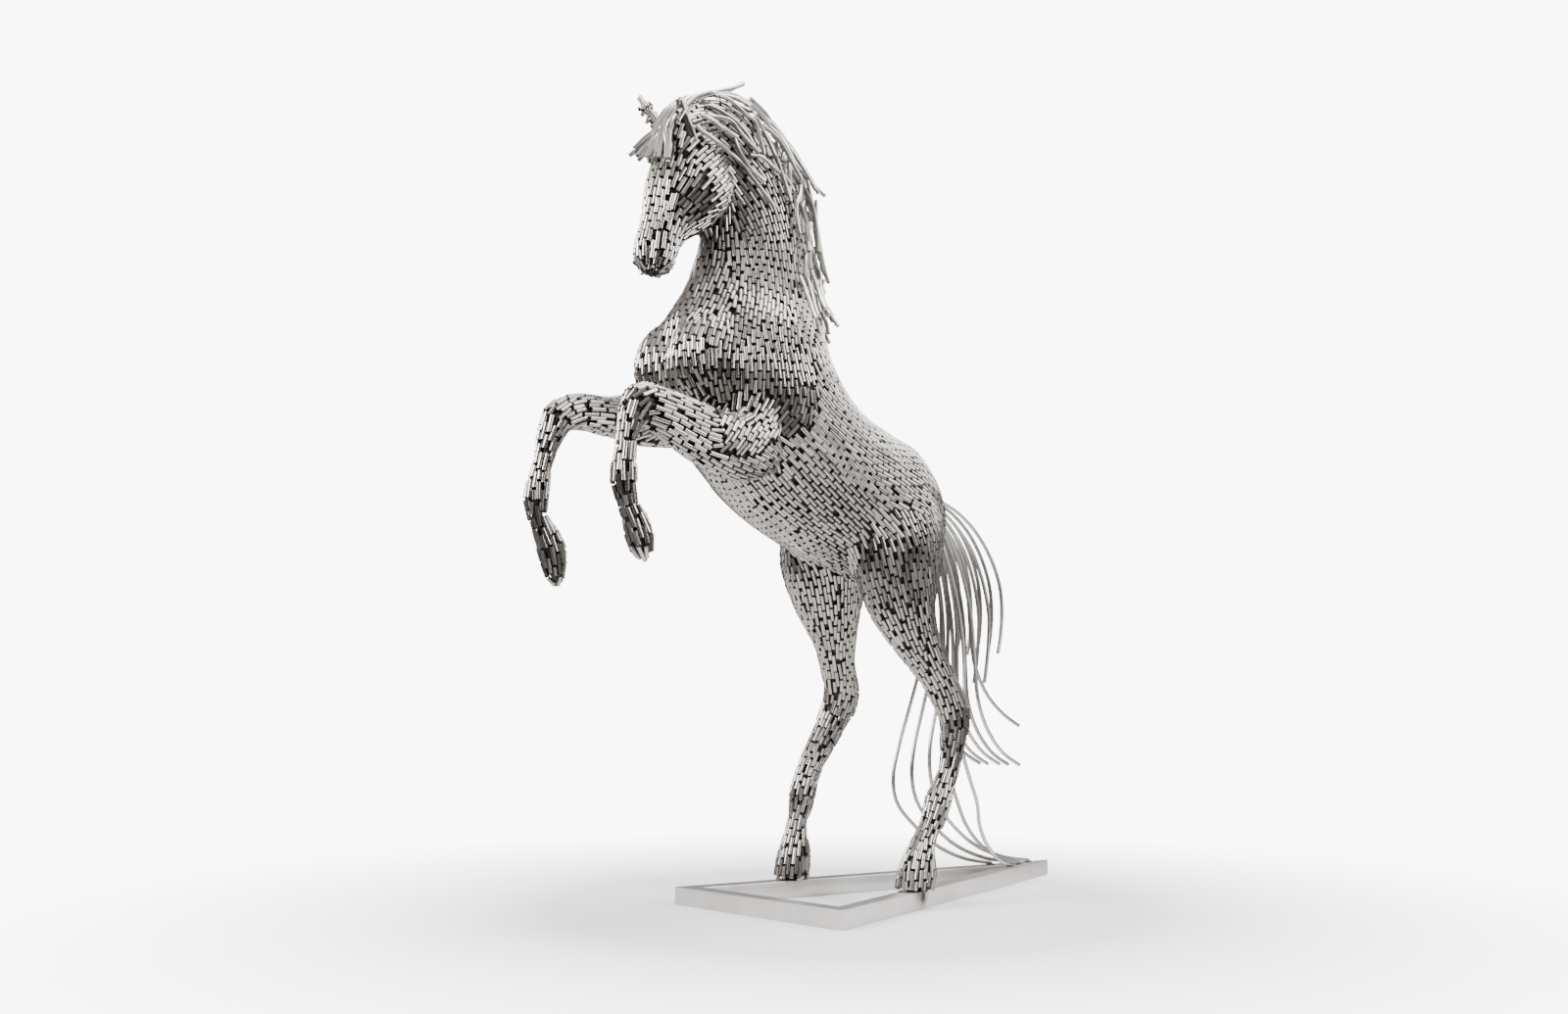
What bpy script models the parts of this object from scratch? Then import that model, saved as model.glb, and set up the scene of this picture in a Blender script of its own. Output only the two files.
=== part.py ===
"""A rearing horse of welded steel rods, on a triangular base of square tube.

Metres, +Z up. The horse faces +X and its left side is at +Y. The model is laid out from the
middle of the base's front edge, on the ground, and is shifted at the end so that the origin is
under the middle of the whole work.

The horse's skin is thousands of short rods, laid side by side and welded. Here the skin is one
closed solid, as large as the rods are outside. The long bent rods of the forelock, the mane
and the tail are separate pieces.
"""

import math
import random

import bmesh
import bpy
from mathutils import Matrix, Vector
from mathutils.bvhtree import BVHTree

# The horse, from its soles to its crown. Its pose and proportions are shares of this height.
FIGURE_HEIGHT = 2.24

# The base: a triangle of square tube with mitred corners, its point behind the horse.
BASE_WIDTH = 0.671
BASE_LENGTH = 1.378
RAIL_SIZE = 0.0508
RAIL_WALL = 0.0032

# The bent rods of the forelock, mane and tail, and their pitch where they leave the skin.
ROD_DIAMETER = 0.0125
ROD_PITCH = 1.25 * ROD_DIAMETER

# How far the forelock hangs to the left of the middle, in grid units.
FORELOCK_SIDE = 0.8

# Rods of the mane that stand free, by track and row: where they run from the root, forward and
# up in grid units.
MANE_FREE = {
    (3, 0): [(14.5, 227), (10.4, 230.2), (5.5, 234)],
    (4, 0): [(0, 224.5), (-9.5, 217), (-19, 210.2), (-26.3, 207)],
}

# The tail's rods: where they leave the rump and which way, in degrees up from forward, how far
# apart their columns fan out and how far back the welded rods fan, in grid units. The middle
# welded rod meets the base this far from its rear point, and each next one a step further on.
DOCK_FORWARD = -73
DOCK_UP = 118
DOCK_LEAN = 172
DOCK_STUB = 3.6
DOCK_STEP = 0.7
TAIL_SPREAD = 4.2
TAIL_WELDED_FAN = 5
TAIL_WELD_SETBACK = 0.11
TAIL_WELD_STEP = 0.078

# The rods of each row of the tail, outermost first: forward and up from the dock.
TAIL_ROWS = [
    [(-12, -3), (-23, -12), (-29.5, -25), (-30.5, -38), (-28, -49)],
    [(-10, -5), (-19.5, -16), (-24, -32), (-23.5, -45), (-21, -57)],
    [(-8, -8), (-14.5, -22), (-17.5, -40), (-16.5, -56), (-20, -68), (-28, -77), (-38, -82)],
    [(-5, -10), (-9, -26), (-9, -44), (-4, -60), (3, -76), (5, -89)],
]

# One rod in the middle of the second row flicks out instead.
TAIL_FLICK = [(-10, -5), (-19.5, -16), (-24, -32), (-24.5, -46), (-30, -58), (-39, -66), (-49, -71)]

# Clearance between pieces that touch.
FIT_GAP = 0.0003

# How finely the skin is merged and faceted.
SKIN_VOXEL = 0.0085
SKIN_TRIANGLES = 4700
RING_SIDES = 20
RINGS_PER_SPAN = 3

# Rods in each bunch.
MANE_TRACKS = 8
MANE_RODS_PER_TRACK = 3
FORELOCK_RODS = 5
TAIL_COLUMNS = 5
MANE_ROD_POINTS = 6
FORELOCK_POINTS = 9
TAIL_ROD_POINTS = 10
WELDED_ROD_POINTS = 15

# The figure is laid out on a grid with this many units from sole to crown.
GRID = FIGURE_HEIGHT / 224
SOLE = RAIL_SIZE + FIT_GAP
ROD_RADIUS = ROD_DIAMETER / 2
LAID_CLEARANCE = 1.3 * ROD_RADIUS

STEEL = ("rod_steel", (0.60, 0.59, 0.57, 1.0), 0.30)
HAIR_STEEL = ("bent_rod_steel", (0.66, 0.65, 0.63, 1.0), 0.26)
RAIL_STEEL = ("tube_steel", (0.68, 0.66, 0.64, 1.0), 0.38)

# Sections of the trunk, from the rump to the breast, in grid units: forward, up, half depth from
# back to belly, half width, and how many degrees the spine there leans up from forward.
TRUNK = [
    (-72, 103, 4, 5, 8), (-69.8, 103.6, 11, 11.5, 12), (-64, 105.6, 18, 17.5, 17),
    (-55.5, 109.4, 22.4, 20.6, 22), (-47, 112.8, 24.2, 22, 28), (-38.3, 115.3, 24.6, 22.4, 34),
    (-29.8, 118, 24.8, 22.8, 38), (-20.4, 121.6, 24.9, 22.9, 42), (-12.1, 126.7, 25.2, 22.9, 45),
    (-5.8, 132.8, 26.2, 22.5, 48), (-0.6, 138.4, 27, 22.8, 53), (3.2, 143.6, 28.4, 22.6, 60),
    (6.9, 149.1, 30.2, 22, 68),
]

# Sections of the neck, from the breast to the poll, in the same terms.
NECK = [
    (6.9, 149.1, 30.2, 22, 68), (6.6, 156.5, 29, 19.2, 75), (5.1, 163.6, 25.6, 16.2, 80),
    (2.4, 171.1, 22.2, 13.6, 84), (0.9, 179.4, 20.3, 12.2, 84), (0.4, 188.3, 19.4, 11.4, 78),
    (1.4, 196.7, 19, 10.8, 68), (5.1, 203.8, 17, 10, 58), (9.5, 210.9, 14.3, 9, 50),
    (16, 215, 10.5, 8, 36), (22, 216, 7, 6, 15), (26, 215.5, 3, 3, 0),
]

# Sections of the head, from the lips to the poll, in the same terms.
HEAD = [
    (38.6, 168, 3, 3.2, 98), (38.4, 169.6, 5.2, 4.9, 98), (38, 172, 6.1, 5.6, 98),
    (37.3, 175.2, 6.5, 5.8, 100), (35.8, 179.4, 6.9, 5.6, 100), (33, 183.6, 9, 6.2, 100),
    (28.8, 188.6, 12.3, 8.2, 100), (25.4, 194, 14.3, 9.4, 100), (24.2, 199.4, 14, 9.7, 101),
    (24.4, 204, 12.6, 9.4, 103), (24.8, 208.5, 10.8, 8.6, 106), (24.8, 213, 8.4, 7, 112),
    (24.3, 217, 5.2, 5, 118), (24, 219, 2.6, 3, 120),
]

# Sections of the legs, in grid units: forward, sideways, up, half depth, half width. On the
# hind legs the second number is the share of the way out from the hip to the hoof's line.
HIP_SIDE = 11.5
LEFT_HIND = [
    (-46, 0, 121, 8, 6), (-46.5, 0.02, 115, 14, 10), (-46.5, 0.08, 107, 17.3, 12.2),
    (-46.5, 0.14, 98, 16.8, 12.6), (-46.6, 0.2, 89, 14.4, 11.2), (-47.2, 0.3, 81.5, 11.6, 9.6),
    (-49.6, 0.42, 74.8, 8.8, 7.8), (-53, 0.58, 68, 6.9, 6.2), (-57.2, 0.72, 62, 5.8, 5.1),
    (-61.5, 0.88, 54.6, 5.9, 4.7), (-64, 0.95, 49, 5.5, 4.5), (-62.8, 1, 44, 4.6, 4.3),
    (-61.8, 1, 39, 3.8, 3.7), (-60.4, 1, 33.4, 3.3, 3.3), (-57.6, 1, 28.6, 3.5, 3.5),
    (-55, 1, 24.6, 4.3, 4.2), (-53.2, 1, 20.2, 4.1, 4), (-50, 1, 16, 3.2, 3.4),
    (-47.4, 1, 12, 3.9, 4), (-45.8, 1, 7.4, 5.5, 5.3), (-44.6, 1, 2.4, 6.2, 6),
    (-44, 1, -3, 6.5, 6.2),
]
RIGHT_HIND = [
    (-43, 0, 121, 8, 6), (-43, 0.02, 115, 14, 10), (-42.4, 0.08, 107, 17.3, 12.2),
    (-42.2, 0.14, 98, 16.8, 12.6), (-43.6, 0.2, 90, 14.6, 11.4), (-46, 0.3, 82, 11.4, 9.6),
    (-49.6, 0.45, 74, 8, 7.2), (-52.8, 0.62, 65, 5.9, 5.6), (-56.8, 0.8, 57.4, 6.6, 5),
    (-56.8, 0.9, 52.4, 6.8, 4.8), (-54.8, 1, 48, 5.6, 4.6), (-51.4, 1, 42.7, 4.7, 4.4),
    (-47, 1, 37, 4.3, 4.1), (-43.2, 1, 31, 4.1, 4), (-41.2, 1, 25.8, 4.4, 4.3),
    (-40.4, 1, 21, 3.9, 3.9), (-38.8, 1, 17.4, 3.1, 3.3), (-38.1, 1, 13.4, 3.7, 3.9),
    (-37.8, 1, 8, 5.3, 5.2), (-36.6, 1, 3, 5.6, 5.5), (-36, 1, -3, 5.8, 5.7),
]
LEFT_FOREARM = [
    (10, 14, 124, 10, 7), (20, 15.5, 120.5, 9.6, 7.4), (28, 15.7, 120.8, 8.9, 7.2),
    (35, 15.5, 122.6, 8.1, 6.6), (43, 15, 125.2, 7.1, 5.8), (49.5, 14.7, 127.4, 6, 5.2),
    (54.5, 14.5, 128.6, 4.8, 4.6), (57, 14.5, 129, 2.4, 2.6),
]
LEFT_CANNON = [
    (52.5, 14.5, 131, 2, 2.6), (53.6, 14.5, 129, 4.4, 4.4), (55.4, 14.4, 125, 4.1, 4.2),
    (57, 14.2, 120, 3, 3.3), (57.5, 14.1, 114.4, 3, 3), (57.8, 14, 108.6, 3.9, 3.6),
    (57.4, 14, 104.2, 3.1, 3.1), (56, 14, 100.8, 2.8, 2.9), (54, 14, 97.8, 3.6, 3.5),
    (52.6, 14, 94, 3.9, 3.9), (51.4, 14, 90.4, 3.2, 3.6), (51, 14, 87.6, 1.6, 2.2),
]
RIGHT_FOREARM = [
    (10, -13, 135, 10, 7), (20, -14.8, 133, 8.8, 6.8), (28, -15.2, 131.4, 8, 6.4),
    (35, -15.2, 130.8, 6.8, 5.8), (43, -14.8, 130.2, 5.6, 5.4), (50, -14.4, 130.3, 5.2, 5),
    (56.5, -14, 128.8, 4.8, 4.6), (60, -14, 127.6, 2.4, 2.6),
]
RIGHT_CANNON = [
    (55.8, -14, 131.2, 2, 2.6), (57.4, -14, 128.8, 4.6, 4.4), (60, -14, 124, 4.1, 4.1),
    (62, -14, 117.8, 3, 3.2), (63.4, -14, 112.4, 2.9, 3), (64.3, -14, 107.4, 3.7, 3.5),
    (64.6, -14, 102.8, 3.3, 3.2), (63.6, -14, 99.4, 2.8, 2.9), (61.2, -14, 96, 3.6, 3.5),
    (59.4, -14, 92.4, 4.1, 4), (58.2, -14, 86.8, 3.2, 3.6), (57.6, -14, 82.4, 1.6, 2.2),
]

# Ears, from the root to the tip. The left one is turned down a little more.
LEFT_EAR = [
    (30, 5.2, 206.5, 2.6, 2.4), (32.2, 6, 209, 2.7, 2.1), (34.4, 6.9, 211.6, 2.2, 1.7),
    (35.8, 7.8, 214.2, 1.6, 1.3), (36.7, 8.5, 216.6, 0.9, 0.9),
]
RIGHT_EAR = [
    (30, -5.2, 211, 2.6, 2.4), (32.4, -6, 213.6, 2.7, 2.1), (34.4, -6.9, 216.8, 2.2, 1.7),
    (36.2, -7.7, 219.8, 1.6, 1.3), (37.6, -8.4, 222.4, 0.9, 0.9),
]

# Muscles that stand out, for the left side: forward, sideways, up, three radii, and the tilt
# of the third radius forward in degrees.
MUSCLES = [
    (3, 14.5, 142, 12, 8.5, 21, 14),
    (24, 6.8, 145.5, 12.5, 10.5, 13.5, -10),
    (13, 12.5, 132.5, 9, 7.5, 11, 30),
    (24.5, 6.2, 196, 9.5, 4.6, 9.5, 0),
    (33, 5.6, 206, 4, 2.6, 5, -10),
]


def clear_scene():
    for old in list(bpy.data.objects):
        bpy.data.objects.remove(old, do_unlink=True)


def make_material(name, colour, roughness):
    material = bpy.data.materials.new(name)
    material.use_nodes = True
    shader = material.node_tree.nodes["Principled BSDF"]
    shader.inputs["Base Color"].default_value = colour
    shader.inputs["Roughness"].default_value = roughness
    shader.inputs["Metallic"].default_value = 1.0
    return material


def blend_points(points, share):
    """A place on the smooth curve through the points, from 0 at the first to 1 at the last."""
    span = min(share, 0.999999) * (len(points) - 1)
    start = int(span)
    t = span - start
    before = points[max(start - 1, 0)]
    after = points[min(start + 2, len(points) - 1)]
    here, there = points[start], points[start + 1]
    return tuple(
        0.5 * (2 * b + (c - a) * t + (2 * a - 5 * b + 4 * c - d) * t * t + (3 * b - a - 3 * c + d) * t ** 3)
        for a, b, c, d in zip(before, here, there, after)
    )


def section_axes(direction):
    """The two directions across a limb that runs along the given direction."""
    along = direction.normalized()
    side = (Vector((0, 1, 0)) - along * along.y).normalized()
    return side, along.cross(side)


def leaning(degrees):
    """The direction along the middle plane, this many degrees up from forward."""
    angle = math.radians(degrees)
    return Vector((math.cos(angle), 0, math.sin(angle)))


def rail_line(forward):
    """How far out from the middle the side rails' centre lines run at this place."""
    slope = math.atan2(BASE_WIDTH / 2, BASE_LENGTH)
    return BASE_WIDTH / 2 * (1 + forward / BASE_LENGTH) - RAIL_SIZE / 2 / math.cos(slope)


def in_metres(stations):
    """Sections with the grid units turned into metres above the ground."""
    return [(x * GRID, y * GRID, SOLE + z * GRID, deep * GRID, wide * GRID, *lean)
            for x, y, z, deep, wide, *lean in stations]


def hind_leg(stations, side):
    """The hind leg's sections, spread so that its hoof stands on the side rail."""
    hoof_line = rail_line(stations[-1][0] * GRID) / GRID
    placed = [(x, side * (HIP_SIDE + (hoof_line - HIP_SIDE) * share), z, deep, wide)
              for x, share, z, deep, wide in stations]
    return in_metres(placed)


def midline(stations):
    """Sections of the trunk, neck or head, placed on the middle plane."""
    return in_metres([(x, 0, z, deep, wide, lean) for x, z, deep, wide, lean in stations])


def add_loft(mesh, stations):
    """A closed limb of elliptical rings along the stations, square to it unless they lean."""
    count = (len(stations) - 1) * RINGS_PER_SPAN
    places = [blend_points(stations, i / count) for i in range(count + 1)]
    centres = [Vector(place[:3]) for place in places]
    rings = []
    for i, place in enumerate(places):
        if len(place) > 5:
            direction = leaning(place[5])
        else:
            direction = centres[min(i + 1, count)] - centres[max(i - 1, 0)]
        side, deep = section_axes(direction)
        ring = []
        for k in range(RING_SIDES):
            angle = 2 * math.pi * k / RING_SIDES
            offset = deep * (math.cos(angle) * place[3]) + side * (math.sin(angle) * place[4])
            ring.append(mesh.verts.new(centres[i] + offset))
        rings.append(ring)
    for lower, upper in zip(rings, rings[1:]):
        for k in range(RING_SIDES):
            n = (k + 1) % RING_SIDES
            mesh.faces.new((lower[k], lower[n], upper[n], upper[k]))
    mesh.faces.new(list(reversed(rings[0])))
    mesh.faces.new(rings[-1])


def add_muscle(mesh, muscle, side):
    """An egg-shaped bulge on one side of the body."""
    x, y, z, deep, wide, tall, tilt = muscle
    place = Matrix.Translation((x * GRID, side * y * GRID, SOLE + z * GRID))
    turn = Matrix.Rotation(math.radians(tilt), 4, "Y")
    size = Matrix.Diagonal((deep * GRID, wide * GRID, tall * GRID, 1))
    bmesh.ops.create_uvsphere(mesh, u_segments=20, v_segments=12, radius=1, matrix=place @ turn @ size)


def new_object(name, mesh_data, material, collection):
    made = bpy.data.objects.new(name, mesh_data)
    made.data.materials.clear()
    made.data.materials.append(material)
    collection.objects.link(made)
    return made


def evaluated_mesh(item):
    bpy.context.view_layer.update()
    graph = bpy.context.evaluated_depsgraph_get()
    return bpy.data.meshes.new_from_object(item.evaluated_get(graph))


def cut_soles(mesh_data):
    """Cut the hind hooves flat where they stand on the rails."""
    mesh = bmesh.new()
    mesh.from_mesh(mesh_data)
    everything = mesh.verts[:] + mesh.edges[:] + mesh.faces[:]
    bmesh.ops.bisect_plane(mesh, geom=everything, plane_co=(0, 0, SOLE), plane_no=(0, 0, 1),
                           clear_inner=True, dist=1e-5)
    open_edges = [edge for edge in mesh.edges if edge.is_boundary]
    bmesh.ops.holes_fill(mesh, edges=open_edges, sides=0)
    bmesh.ops.triangulate(mesh, faces=[face for face in mesh.faces if len(face.verts) > 3])
    mesh.to_mesh(mesh_data)
    mesh.free()


def make_skin(material, collection):
    """The horse's skin: its lofts and muscles merged, smoothed and faceted."""
    mesh = bmesh.new()
    add_loft(mesh, midline(TRUNK + NECK[1:]))
    add_loft(mesh, midline(HEAD))
    add_loft(mesh, hind_leg(LEFT_HIND, 1))
    add_loft(mesh, hind_leg(RIGHT_HIND, -1))
    for stations in (LEFT_FOREARM, LEFT_CANNON, RIGHT_FOREARM, RIGHT_CANNON, LEFT_EAR, RIGHT_EAR):
        add_loft(mesh, in_metres(stations))
    for muscle in MUSCLES:
        add_muscle(mesh, muscle, 1)
        add_muscle(mesh, muscle, -1)
    bmesh.ops.recalc_face_normals(mesh, faces=mesh.faces[:])
    rough = bpy.data.meshes.new("rough_skin")
    mesh.to_mesh(rough)
    mesh.free()

    skin = new_object("horse_rod_skin", rough, material, collection)
    merge = skin.modifiers.new("merge", "REMESH")
    merge.mode = "VOXEL"
    merge.voxel_size = SKIN_VOXEL
    soften = skin.modifiers.new("soften", "SMOOTH")
    soften.factor = 0.5
    soften.iterations = 7
    fine = evaluated_mesh(skin)
    facet = skin.modifiers.new("facet", "DECIMATE")
    facet.ratio = SKIN_TRIANGLES / (2 * len(fine.polygons))
    bpy.data.meshes.remove(fine)
    faceted = evaluated_mesh(skin)
    skin.modifiers.clear()
    skin.data = faceted
    bpy.data.meshes.remove(rough)
    cut_soles(skin.data)
    skin.data.shade_smooth()
    return skin


def make_rail(name, start, end, start_turn, end_turn, material, collection):
    """A square tube whose outer lower edge runs from start to end.

    Seen from above, the tube lies to the left of that edge. Each end is mitred along the line
    that halves the corner, whose inside angle is given.
    """
    profile = bpy.data.curves.new(name, "CURVE")
    profile.dimensions = "2D"
    profile.fill_mode = "BOTH"
    for inset in (0, RAIL_WALL):
        low, high = inset, RAIL_SIZE - inset
        spline = profile.splines.new("POLY")
        spline.points.add(3)
        for point, (across, up) in zip(spline.points, ((low, low), (high, low), (high, high), (low, high))):
            point.co = (across, up, 0, 1)
        spline.use_cyclic_u = True
    profile.extrude = 0.5
    guide = bpy.data.objects.new(name + "_profile", profile)
    collection.objects.link(guide)
    tube = evaluated_mesh(guide)
    bpy.data.objects.remove(guide)

    run = end - start
    length = run.length
    along = run.normalized()
    across = Vector((-along.y, along.x, 0))
    corner_gap = FIT_GAP / 2
    for vertex in tube.vertices:
        inward, up, end_mark = vertex.co
        angle = end_turn if end_mark > 0 else start_turn
        setback = inward / math.tan(angle / 2) + corner_gap / math.sin(angle / 2)
        distance = length - setback if end_mark > 0 else setback
        vertex.co = start + along * distance + across * inward + Vector((0, 0, up))
    mesh = bmesh.new()
    mesh.from_mesh(tube)
    bmesh.ops.remove_doubles(mesh, verts=mesh.verts[:], dist=1e-6)
    bmesh.ops.recalc_face_normals(mesh, faces=mesh.faces[:])
    mesh.to_mesh(tube)
    mesh.free()
    return new_object(name, tube, material, collection)


def make_base(material, collection):
    right = Vector((0, -BASE_WIDTH / 2, 0))
    left = Vector((0, BASE_WIDTH / 2, 0))
    rear = Vector((-BASE_LENGTH, 0, 0))
    front_angle = math.atan2(BASE_LENGTH, BASE_WIDTH / 2)
    rear_angle = math.pi - 2 * front_angle
    make_rail("base_front_rail", right, left, front_angle, front_angle, material, collection)
    make_rail("base_left_rail", left, rear, front_angle, rear_angle, material, collection)
    make_rail("base_right_rail", rear, right, rear_angle, front_angle, material, collection)


def make_rod(name, points, material, collection):
    """A bent rod: a tube of six flats along the points."""
    curve = bpy.data.curves.new(name, "CURVE")
    curve.dimensions = "3D"
    curve.bevel_depth = ROD_RADIUS
    curve.bevel_resolution = 1
    curve.use_fill_caps = True
    spline = curve.splines.new("POLY")
    spline.points.add(len(points) - 1)
    for point, place in zip(spline.points, points):
        point.co = (*place, 1)
    curve.materials.append(material)
    made = bpy.data.objects.new(name, curve)
    collection.objects.link(made)
    return made


def neck_point(share, angle, lift):
    """A place over the neck: 0 at the poll to 1 at the withers, turned from the crest to the left."""
    place = blend_points(midline(NECK[:-1])[::-1], share)
    side, deep = section_axes(leaning(place[5]))
    out = deep * (math.cos(angle) * (place[3] + lift)) + side * (math.sin(angle) * (place[4] + lift))
    return Vector(place[:3]) + out


def lay_on_skin(points, skin_tree, clearances):
    """Move each point that is too close to the skin out to its clearance."""
    laid = []
    for place, clearance in zip(points, clearances):
        for _ in range(3):
            nearest, normal, _, _ = skin_tree.find_nearest(place)
            if (place - nearest).dot(normal) < clearance:
                place = nearest + normal * clearance
        laid.append(place)
    return laid


def make_mane(skin_tree, material, collection):
    """Rods in tracks down the crest, more of them on the left, their tips lifted."""
    rng = random.Random(7)
    number = 0
    for track in range(MANE_TRACKS):
        start_angle = math.radians(-40 + 98 * track / (MANE_TRACKS - 1))
        stagger = 0.17 * (track * 3 % MANE_TRACKS) / MANE_TRACKS
        for row in range(MANE_RODS_PER_TRACK):
            number += 1
            begin = 0.02 + 0.27 * row + stagger + rng.uniform(0, 0.01)
            length = 0.22 + rng.uniform(0, 0.025)
            tip = GRID * rng.uniform(2, 4.5)
            points = []
            clearances = []
            for i in range(MANE_ROD_POINTS):
                t = i / (MANE_ROD_POINTS - 1)
                along = begin + length * t
                clearance = LAID_CLEARANCE + GRID * 2.2 * math.sin(math.pi * t) + tip * t ** 3
                points.append(neck_point(along, start_angle + math.radians(20) * along, clearance))
                clearances.append(clearance)
            laid = lay_on_skin(points, skin_tree, clearances)
            if (track, row) in MANE_FREE:
                route = [tuple(laid[0])]
                route += [(x * GRID, laid[0].y, SOLE + z * GRID) for x, z in MANE_FREE[track, row]]
                laid = [Vector(blend_points(route, i / MANE_ROD_POINTS)) for i in range(MANE_ROD_POINTS + 1)]
            make_rod("mane_rod_%02d" % number, laid, material, collection)


def make_forelock(skin_tree, material, collection):
    """Rods from between the ears, forward and down over the brow, fanning out past the ears."""
    root = ROD_PITCH * (FORELOCK_RODS - 1) / GRID
    for number in range(FORELOCK_RODS):
        spread = number / (FORELOCK_RODS - 1) - 0.5
        route = [
            (21, root * spread, 224.8), (27, (root + 0.3) * spread, 221.4),
            (32.3, (root + 1) * spread, 215.6), (37.4, (root + 4) * spread, 208.2),
            (40.8 - 1.5 * spread, (root + 9) * spread, 200.5 - 5 * spread),
        ]
        points = []
        for i in range(FORELOCK_POINTS):
            x, y, z = blend_points(route, i / (FORELOCK_POINTS - 1))
            points.append(Vector((x * GRID, (y + FORELOCK_SIDE) * GRID, SOLE + z * GRID)))
        laid = lay_on_skin(points, skin_tree, [1.2 * LAID_CLEARANCE] * FORELOCK_POINTS)
        make_rod("forelock_rod_%02d" % (number + 1), laid, material, collection)


def rod_root(skin_tree, through, direction):
    """Where a rod along this line is cut off so that all of its end just clears the skin."""
    side, deep = section_axes(direction)
    highest = -math.inf
    for ring in (0, 0.5, 1):
        for k in range(8):
            angle = math.pi * k / 4
            offset = (side * math.cos(angle) + deep * math.sin(angle)) * ring * ROD_RADIUS
            hit, _, _, _ = skin_tree.ray_cast(through + offset + direction, -direction)
            if hit:
                highest = max(highest, (hit - through).dot(direction))
    return through + direction * (highest + 2 * FIT_GAP)


def tail_route(row, column, reach):
    """The points that one rod of the tail runs through after it leaves the dock."""
    welded = row == len(TAIL_ROWS) - 1
    offset = column - (TAIL_COLUMNS - 1) / 2
    route = TAIL_ROWS[row]
    if row == 1 and offset == 0:
        route = TAIL_FLICK
    points = []
    for i, (x, z) in enumerate(route):
        share = (i + 1) / len(route)
        fan = offset * (ROD_PITCH + (TAIL_SPREAD * GRID - ROD_PITCH) * min(1, 1.6 * share))
        back = x * reach
        if welded:
            back -= TAIL_WELDED_FAN * column * share ** 3
        points.append(((DOCK_FORWARD + back) * GRID, fan, SOLE + (DOCK_UP + z) * GRID - row * ROD_PITCH))
    if welded:
        weld = TAIL_WELD_SETBACK + TAIL_WELD_STEP * abs(offset) - BASE_LENGTH
        side = math.copysign(rail_line(weld), offset) if offset else 0
        rest = RAIL_SIZE + FIT_GAP + ROD_RADIUS
        low, fan, _ = points[-1]
        for share, rise in ((0.2, 13 * GRID), (0.55, 4 * GRID), (1, 0)):
            points.append((low + (weld - low) * share, fan + (side - fan) * share ** 0.5, rest + rise))
    return points


def make_tail(skin_tree, material, collection):
    """Rods that spring back from the dock in an arc. The innermost row is welded to the base."""
    rng = random.Random(3)
    away = leaning(DOCK_LEAN)
    for row in range(len(TAIL_ROWS)):
        for column in range(TAIL_COLUMNS):
            offset = column - (TAIL_COLUMNS - 1) / 2
            dock = Vector((DOCK_FORWARD * GRID, offset * ROD_PITCH, SOLE + DOCK_UP * GRID - row * ROD_PITCH))
            root = rod_root(skin_tree, dock, away)
            stub = root + away * (DOCK_STUB - DOCK_STEP * row) * GRID
            points = [tuple(stub)] + tail_route(row, column, 1 + rng.uniform(-0.03, 0.03))
            count = WELDED_ROD_POINTS if row == len(TAIL_ROWS) - 1 else TAIL_ROD_POINTS
            bent = [Vector(blend_points(points, i / (count - 2))) for i in range(count - 1)]
            number = row * TAIL_COLUMNS + column + 1
            make_rod("tail_rod_%02d" % number, [root] + bent, material, collection)


def centre_on_origin(collection):
    """Shift everything so that the middle of the work's box is over the origin."""
    bpy.context.view_layer.update()
    graph = bpy.context.evaluated_depsgraph_get()
    corners = []
    for item in collection.objects:
        shape = item.evaluated_get(graph)
        data = shape.to_mesh()
        corners += [item.matrix_world @ vertex.co for vertex in data.vertices]
        shape.to_mesh_clear()
    for axis in (0, 1):
        middle = (min(c[axis] for c in corners) + max(c[axis] for c in corners)) / 2
        for item in collection.objects:
            item.location[axis] -= middle


def main():
    clear_scene()
    collection = bpy.data.collections.new("rearing_horse")
    bpy.context.scene.collection.children.link(collection)
    steel = make_material(*STEEL)
    hair_steel = make_material(*HAIR_STEEL)
    rail_steel = make_material(*RAIL_STEEL)
    make_base(rail_steel, collection)
    skin = make_skin(steel, collection)
    skin_tree = BVHTree.FromPolygons(
        [vertex.co.copy() for vertex in skin.data.vertices],
        [tuple(face.vertices) for face in skin.data.polygons],
    )
    make_forelock(skin_tree, hair_steel, collection)
    make_mane(skin_tree, hair_steel, collection)
    make_tail(skin_tree, hair_steel, collection)
    centre_on_origin(collection)


main()
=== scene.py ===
# %% [markdown]
# # A rearing horse of welded steel rods
#
# The real sculpture is a shell of thousands of short steel rods, each about half an inch thick,
# laid side by side like bricks and welded. Long bent rods make the forelock, the mane and the
# tail, and the whole stands on a triangle of square tube. This lesson lays the rods on the
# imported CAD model, which fixes every size and place, and then gives each kind of steel its finish.

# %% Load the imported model
import math
import random
from collections import deque

import bpy
import numpy as np
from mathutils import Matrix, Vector
from mathutils.bvhtree import BVHTree


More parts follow.
